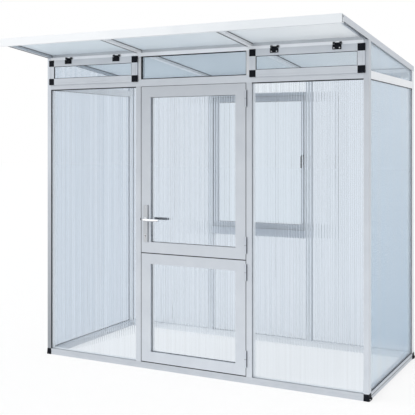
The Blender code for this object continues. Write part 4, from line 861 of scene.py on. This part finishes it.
# The nylon strip beside each hinge is painted shade.
HINGE_SHADE_STRIP = 0.001
HINGE_SHADE_FRONT = HINGE_Y + 0.003
cap_profile = [(0, -0.001), (0.0062, -0.001), (0.0062, 0.0012), (0.004, 0.003), (0, 0.0034)]
washer_profile = [(0, -WASHER_HALF), (WASHER_RADIUS, -WASHER_HALF), (WASHER_RADIUS, WASHER_HALF),
                  (0, WASHER_HALF)]
for leaf, middles in (("upper", (0.921, 1.902)), ("lower", (0.162, 0.740))):
    washers = bmesh.new()
    caps = bmesh.new()
    for middle in middles:
        turned(washers, (HINGE_X, HINGE_Y, middle), (0, 0, 1), washer_profile)
        add_block(washers, (HINGE_X + KNUCKLE, HINGE_X + KNUCKLE + HINGE_SHADE_STRIP),
                  (HINGE_SHADE_FRONT, FRONT), (middle - HINGE_HALF, middle + HINGE_HALF))
        turned(caps, (HINGE_X, HINGE_Y, middle + HINGE_HALF), (0, 0, 1), cap_profile)
        turned(caps, (HINGE_X, HINGE_Y, middle - HINGE_HALF), (0, 0, -1), cap_profile)
    new_piece(f"{leaf}_hinge_washers", washers, nylon, "frame")
    new_piece(f"{leaf}_hinge_caps", caps, screw_steel, "frame")

# Handles and lock: steel levers on long brushed backplates, with a turned rose at each neck, and a round
# key cylinder. The outer lever, the cylinder, the lock case and the latch bolt are satin bright, and the
# inner lever is dark.
satin = grained("satin steel", (0.72, 0.73, 0.75), (0.84, 0.85, 0.87), (0.22, 0.36), 500.0, metal=0.8)
dark_steel = grained("dark satin steel", (0.10, 0.11, 0.12), (0.16, 0.17, 0.19), (0.3, 0.45), 500.0,
                     metal=0.6)
plate_steel = mill_aluminium("brushed plate", "Z", (0.49, 0.515, 0.545), (0.56, 0.585, 0.615), metal=0.8)
for node in ("outer_lever", "lock_cylinder", "lock_case", "latch_bolt"):
    finish(node, satin)
finish("backplate_outer", plate_steel)
finish("backplate_inner", plate_steel)
finish("inner_lever", dark_steel)

SPINDLE_X = -0.371
LEVER_HEIGHT = 1.0605
PLATE_SCREW = 0.0035
PLATE_SCREW_INSET = 0.014
PLATE_SHADOW_WIDTH = 0.0015
rose_profile = [(0, 0.0003), (0.0135, 0.0003), (0.0135, 0.002), (0.0125, 0.0032), (0.0105, 0.0036),
                (0, 0.0036)]
plate_low, plate_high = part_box("backplate_outer")
inner_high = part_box("backplate_inner")[1]
roses = bmesh.new()
plate_screws = bmesh.new()
for plate_face, outwards in ((plate_low.y, -1), (inner_high.y, 1)):
    turned(roses, (SPINDLE_X, plate_face, LEVER_HEIGHT), (0, outwards, 0), rose_profile, 24)
    for height in (plate_low.z + PLATE_SCREW_INSET, plate_high.z - PLATE_SCREW_INSET):
        screw(plate_screws, (SPINDLE_X, plate_face, height), (0, outwards, 0), PLATE_SCREW)
new_piece("lever_roses", roses, satin, "levers")
# A black strip along the outer backplate's right edge is painted shadow.
plate_shadow_strip = bmesh.new()
add_block(plate_shadow_strip, (plate_high.x, plate_high.x + PLATE_SHADOW_WIDTH), (plate_high.y - PLATE_SHADOW_WIDTH, plate_high.y),
          (plate_low.z, plate_high.z))
new_piece("backplate_seal", plate_shadow_strip, rubber, "upper_leaf")
new_piece("backplate_screws", plate_screws, screw_steel, "upper_leaf")

KEY_DISC = 0.0045
KEY_DISC_DROP = 0.0085
KEY_SLOT_HALF = 0.0012
KEY_SLOT_RISE = 0.0004
KEY_SLOT_FOOT = 0.003
key_profile = [(0, -0.001), (KEY_DISC, -0.001), (KEY_DISC, 0.0002), (0, 0.0002)]
cylinder_low, cylinder_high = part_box("lock_cylinder")
key_height = cylinder_high.z - KEY_DISC_DROP
keyway = bmesh.new()
for key_face, outwards in ((cylinder_low.y, -1), (cylinder_high.y, 1)):
    turned(keyway, (SPINDLE_X, key_face, key_height), (0, outwards, 0), key_profile)
    add_block(keyway, (SPINDLE_X - KEY_SLOT_HALF, SPINDLE_X + KEY_SLOT_HALF),
              sorted((key_face, key_face + outwards * KEY_SLOT_RISE)),
              (cylinder_low.z + KEY_SLOT_FOOT, key_height))
new_piece("keyway", keyway, nylon, "upper_leaf")

# Top vents: four short aluminium members plug into black nylon corners round a float glass pane. Each
# vent hangs from two black hinge plates with two screws; their brackets stand on the head rail.
vent_glass = clear_plastic("clear float glass", (0.91, 0.933, 0.953), 0.02)
VENT_INNER = 0.44
VENT_OUTER = 1.228
VENT_CENTRE = 0.834
VENT_BOTTOM = 2.041
VENT_TOP = 2.226
VENT_FACE = FRONT - 0.0105
VENT_BACK = FRONT - 0.0005
VENT_MEMBER = 0.047
LINE_START = 0.0135
LINE_END = 0.0155
LINE_DEPTH = 0.0014
GLASS_GROOVE = (FRONT - 0.0077, FRONT - 0.0033)
GROOVE_FLOOR = 0.0415
CORNER_PROUD = 0.0006
CORNER_ROUNDING = 0.0012
HINGE_OFFSET = 0.2138
PLATE_HALF = 0.029
PLATE_FRONT = FRONT - 0.015
PLATE_BACK = VENT_FACE + 0.0005
PLATE_BOTTOM = 2.195
BARREL_NECK = (VENT_TOP - 0.0005, VENT_TOP + 0.0003)
BARREL_HALF = 0.0157
BARREL_STEPS = 12
AXIS_Y = FRONT - 0.0053
AXIS_Z = 2.2335
BARREL = 0.005
VENT_SCREW = 0.0042
VENT_SCREW_OFFSET = 0.0185
VENT_SCREW_HEIGHT = PLATE_BOTTOM + 0.009
VENT_GASKET = 0.003

# A member's section runs from its outer edge to the glass. A shadow line lies along its face, and a groove
# for the glass along its inner edge.
member_section = [(VENT_FACE, 0), (VENT_FACE, LINE_START), (VENT_FACE + LINE_DEPTH, LINE_START),
                  (VENT_FACE + LINE_DEPTH, LINE_END), (VENT_FACE, LINE_END), (VENT_FACE, VENT_MEMBER),
                  (GLASS_GROOVE[0], VENT_MEMBER), (GLASS_GROOVE[0], GROOVE_FLOOR),
                  (GLASS_GROOVE[1], GROOVE_FLOOR), (GLASS_GROOVE[1], VENT_MEMBER), (VENT_BACK, VENT_MEMBER),
                  (VENT_BACK, 0)]
outer_gasket = [(0, 0.0), (VENT_GASKET, -0.0012), (VENT_GASKET, -0.003), (0, -0.003)]
inner_gasket = [(0, -0.0098), (VENT_GASKET, -0.0088), (VENT_GASKET, -0.007), (0, -0.007)]
hinge_section = [(PLATE_FRONT, BARREL_NECK[0]), (VENT_FACE, BARREL_NECK[0]), (VENT_FACE, BARREL_NECK[1]),
                 (AXIS_Y, BARREL_NECK[1])]
for step in range(BARREL_STEPS + 1):
    angle = math.radians(-90 + 270 * step / BARREL_STEPS)
    hinge_section.append((AXIS_Y + BARREL * math.cos(angle), AXIS_Z + BARREL * math.sin(angle)))
hinge_section.append((PLATE_FRONT, AXIS_Z))
for hand, side in (("left", -1), ("right", 1)):
    finish(f"{hand}_vent_pane", vent_glass if hand == "left" else fanlight_glass)
    x_low, x_high = sorted((side * VENT_INNER, side * VENT_OUTER))
    glass_x = (x_low + VENT_MEMBER, x_high - VENT_MEMBER)
    glass_z = (VENT_BOTTOM + VENT_MEMBER, VENT_TOP - VENT_MEMBER)
    body = f"{hand}_vent"
    members = bmesh.new()
    run_along(members, [(y, VENT_BOTTOM + rise) for y, rise in member_section], "X", *glass_x)
    run_along(members, [(y, VENT_TOP - rise) for y, rise in member_section], "X", *glass_x)
    run_along(members, [(x_low + rise, y) for y, rise in member_section], "Z", *glass_z)
    run_along(members, [(x_high - rise, y) for y, rise in member_section], "Z", *glass_z)
    frame_piece = new_piece(f"{hand}_vent_members", members, aluminium["X"], body)
    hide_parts(f"{hand}_vent_frame")

    corners = bmesh.new()
    for corner_x in ((x_low, glass_x[0]), (glass_x[1], x_high)):
        for corner_z in ((VENT_BOTTOM, glass_z[0]), (glass_z[1], VENT_TOP)):
            add_block(corners, corner_x, (VENT_FACE - CORNER_PROUD, VENT_BACK), corner_z)
    new_piece(f"{hand}_vent_corners", corners, nylon, body, CORNER_ROUNDING)

    vent_seal = bmesh.new()
    glass_opening = upright_corners(*glass_x, VENT_FACE, *glass_z)
    run_round(vent_seal, glass_opening, OUTWARDS["front"], outer_gasket)
    run_round(vent_seal, glass_opening, OUTWARDS["front"], inner_gasket)
    new_piece(f"{hand}_vent_gaskets", vent_seal, rubber, body)

    hinge_leaves = bmesh.new()
    hinge_screws = bmesh.new()
    for turn in (-1, 1):
        hinge_x = side * VENT_CENTRE + turn * HINGE_OFFSET
        add_block(hinge_leaves, (hinge_x - PLATE_HALF, hinge_x + PLATE_HALF),
                  (PLATE_FRONT, PLATE_BACK), (PLATE_BOTTOM, VENT_TOP))
        run_along(hinge_leaves, hinge_section, "X", hinge_x - BARREL_HALF, hinge_x + BARREL_HALF)
        for screw_side in (-1, 1):
            screw_x = hinge_x + screw_side * VENT_SCREW_OFFSET
            screw(hinge_screws, (screw_x, PLATE_FRONT, VENT_SCREW_HEIGHT), (0, -1, 0), VENT_SCREW)
    new_piece(f"{hand}_vent_hinges", hinge_leaves, nylon, body)
    screw_finish = screw_steel if hand == "right" else nylon
    new_piece(f"{hand}_vent_screws", hinge_screws, screw_finish, body)

# Head rail: bright aluminium, with a duller stud on each side of the fanlight. The vent hinges' brackets
# are riveted to its front face and coated black. All of these are one solid, so its finish tells them
# apart by height and depth.
bracket_rail = mill_aluminium("head rail with black brackets", "X", (0.76, 0.79, 0.83), (0.86, 0.885, 0.92),
                              fade=((HEAD_BOTTOM - 0.0005, 0.76), (HEAD_BOTTOM + 0.0005, 1.0)))
bracket_tree = bracket_rail.node_tree
bracket_shader = bracket_tree.nodes["Principled BSDF"]
bracket_depth = added(bracket_tree, "ShaderNodeSeparateXYZ", Vector=object_place(bracket_tree)).outputs["Y"]
in_front = computed(bracket_tree, "LESS_THAN", bracket_depth, FRONT - 0.0001)
plain_colour = bracket_shader.inputs["Base Color"].links[0].from_socket
bracket_colour = added(bracket_tree, "ShaderNodeMix", {"data_type": "RGBA"}, i0=in_front, i6=plain_colour,
                       i7=(0.008, 0.011, 0.016, 1.0))
bracket_tree.links.new(bracket_colour.outputs[2], bracket_shader.inputs["Base Color"])
bracket_metal = computed(bracket_tree, "MULTIPLY_ADD", in_front, -0.75, 0.75)
bracket_tree.links.new(bracket_metal, bracket_shader.inputs["Metallic"])
finish("head_rail_front", bracket_rail)

# Rear window: a side-hung aluminium sash with float glass closes against a fixed frame, with a grey seal
# between them; the sash's darker metal is painted shade. A black nylon handle turns inside.
finish("window_frame", aluminium["Z"])
finish("window_sash", shaded_sash_aluminium)
finish("window_pane", vent_glass)
finish("window_handle", nylon)
SASH_SEAL_WIDTH = 0.003
SASH_SEAL_THICKNESS = 0.001
SASH_GLASS_BITE = 0.009
SASH_GLASS_SETBACK = 0.015
SASH_GLASS = 0.006
sash_low, sash_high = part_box("window_sash")
sash_outline = upright_corners(sash_low.x, sash_high.x, INNER_BACK, sash_low.z, sash_high.z)
sash_seal = [(-SASH_SEAL_WIDTH, 0.0), (0.0, 0.0), (0.0, SASH_SEAL_THICKNESS),
             (-SASH_SEAL_WIDTH, SASH_SEAL_THICKNESS)]
window_seal = bmesh.new()
run_round(window_seal, sash_outline, OUTWARDS["front"], sash_seal)
new_piece("window_seal", window_seal, grey_rubber, "frame")
glass_low, glass_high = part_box("window_pane")
sash_opening = upright_corners(glass_low.x + SASH_GLASS_BITE, glass_high.x - SASH_GLASS_BITE, BACK,
                               glass_low.z + SASH_GLASS_BITE, glass_high.z - SASH_GLASS_BITE)
gaskets("window_gaskets", sash_opening, OUTWARDS["back"], "window", rubber, GASKET_WIDTH, SASH_GLASS_SETBACK,
        SASH_GLASS)

low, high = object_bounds()
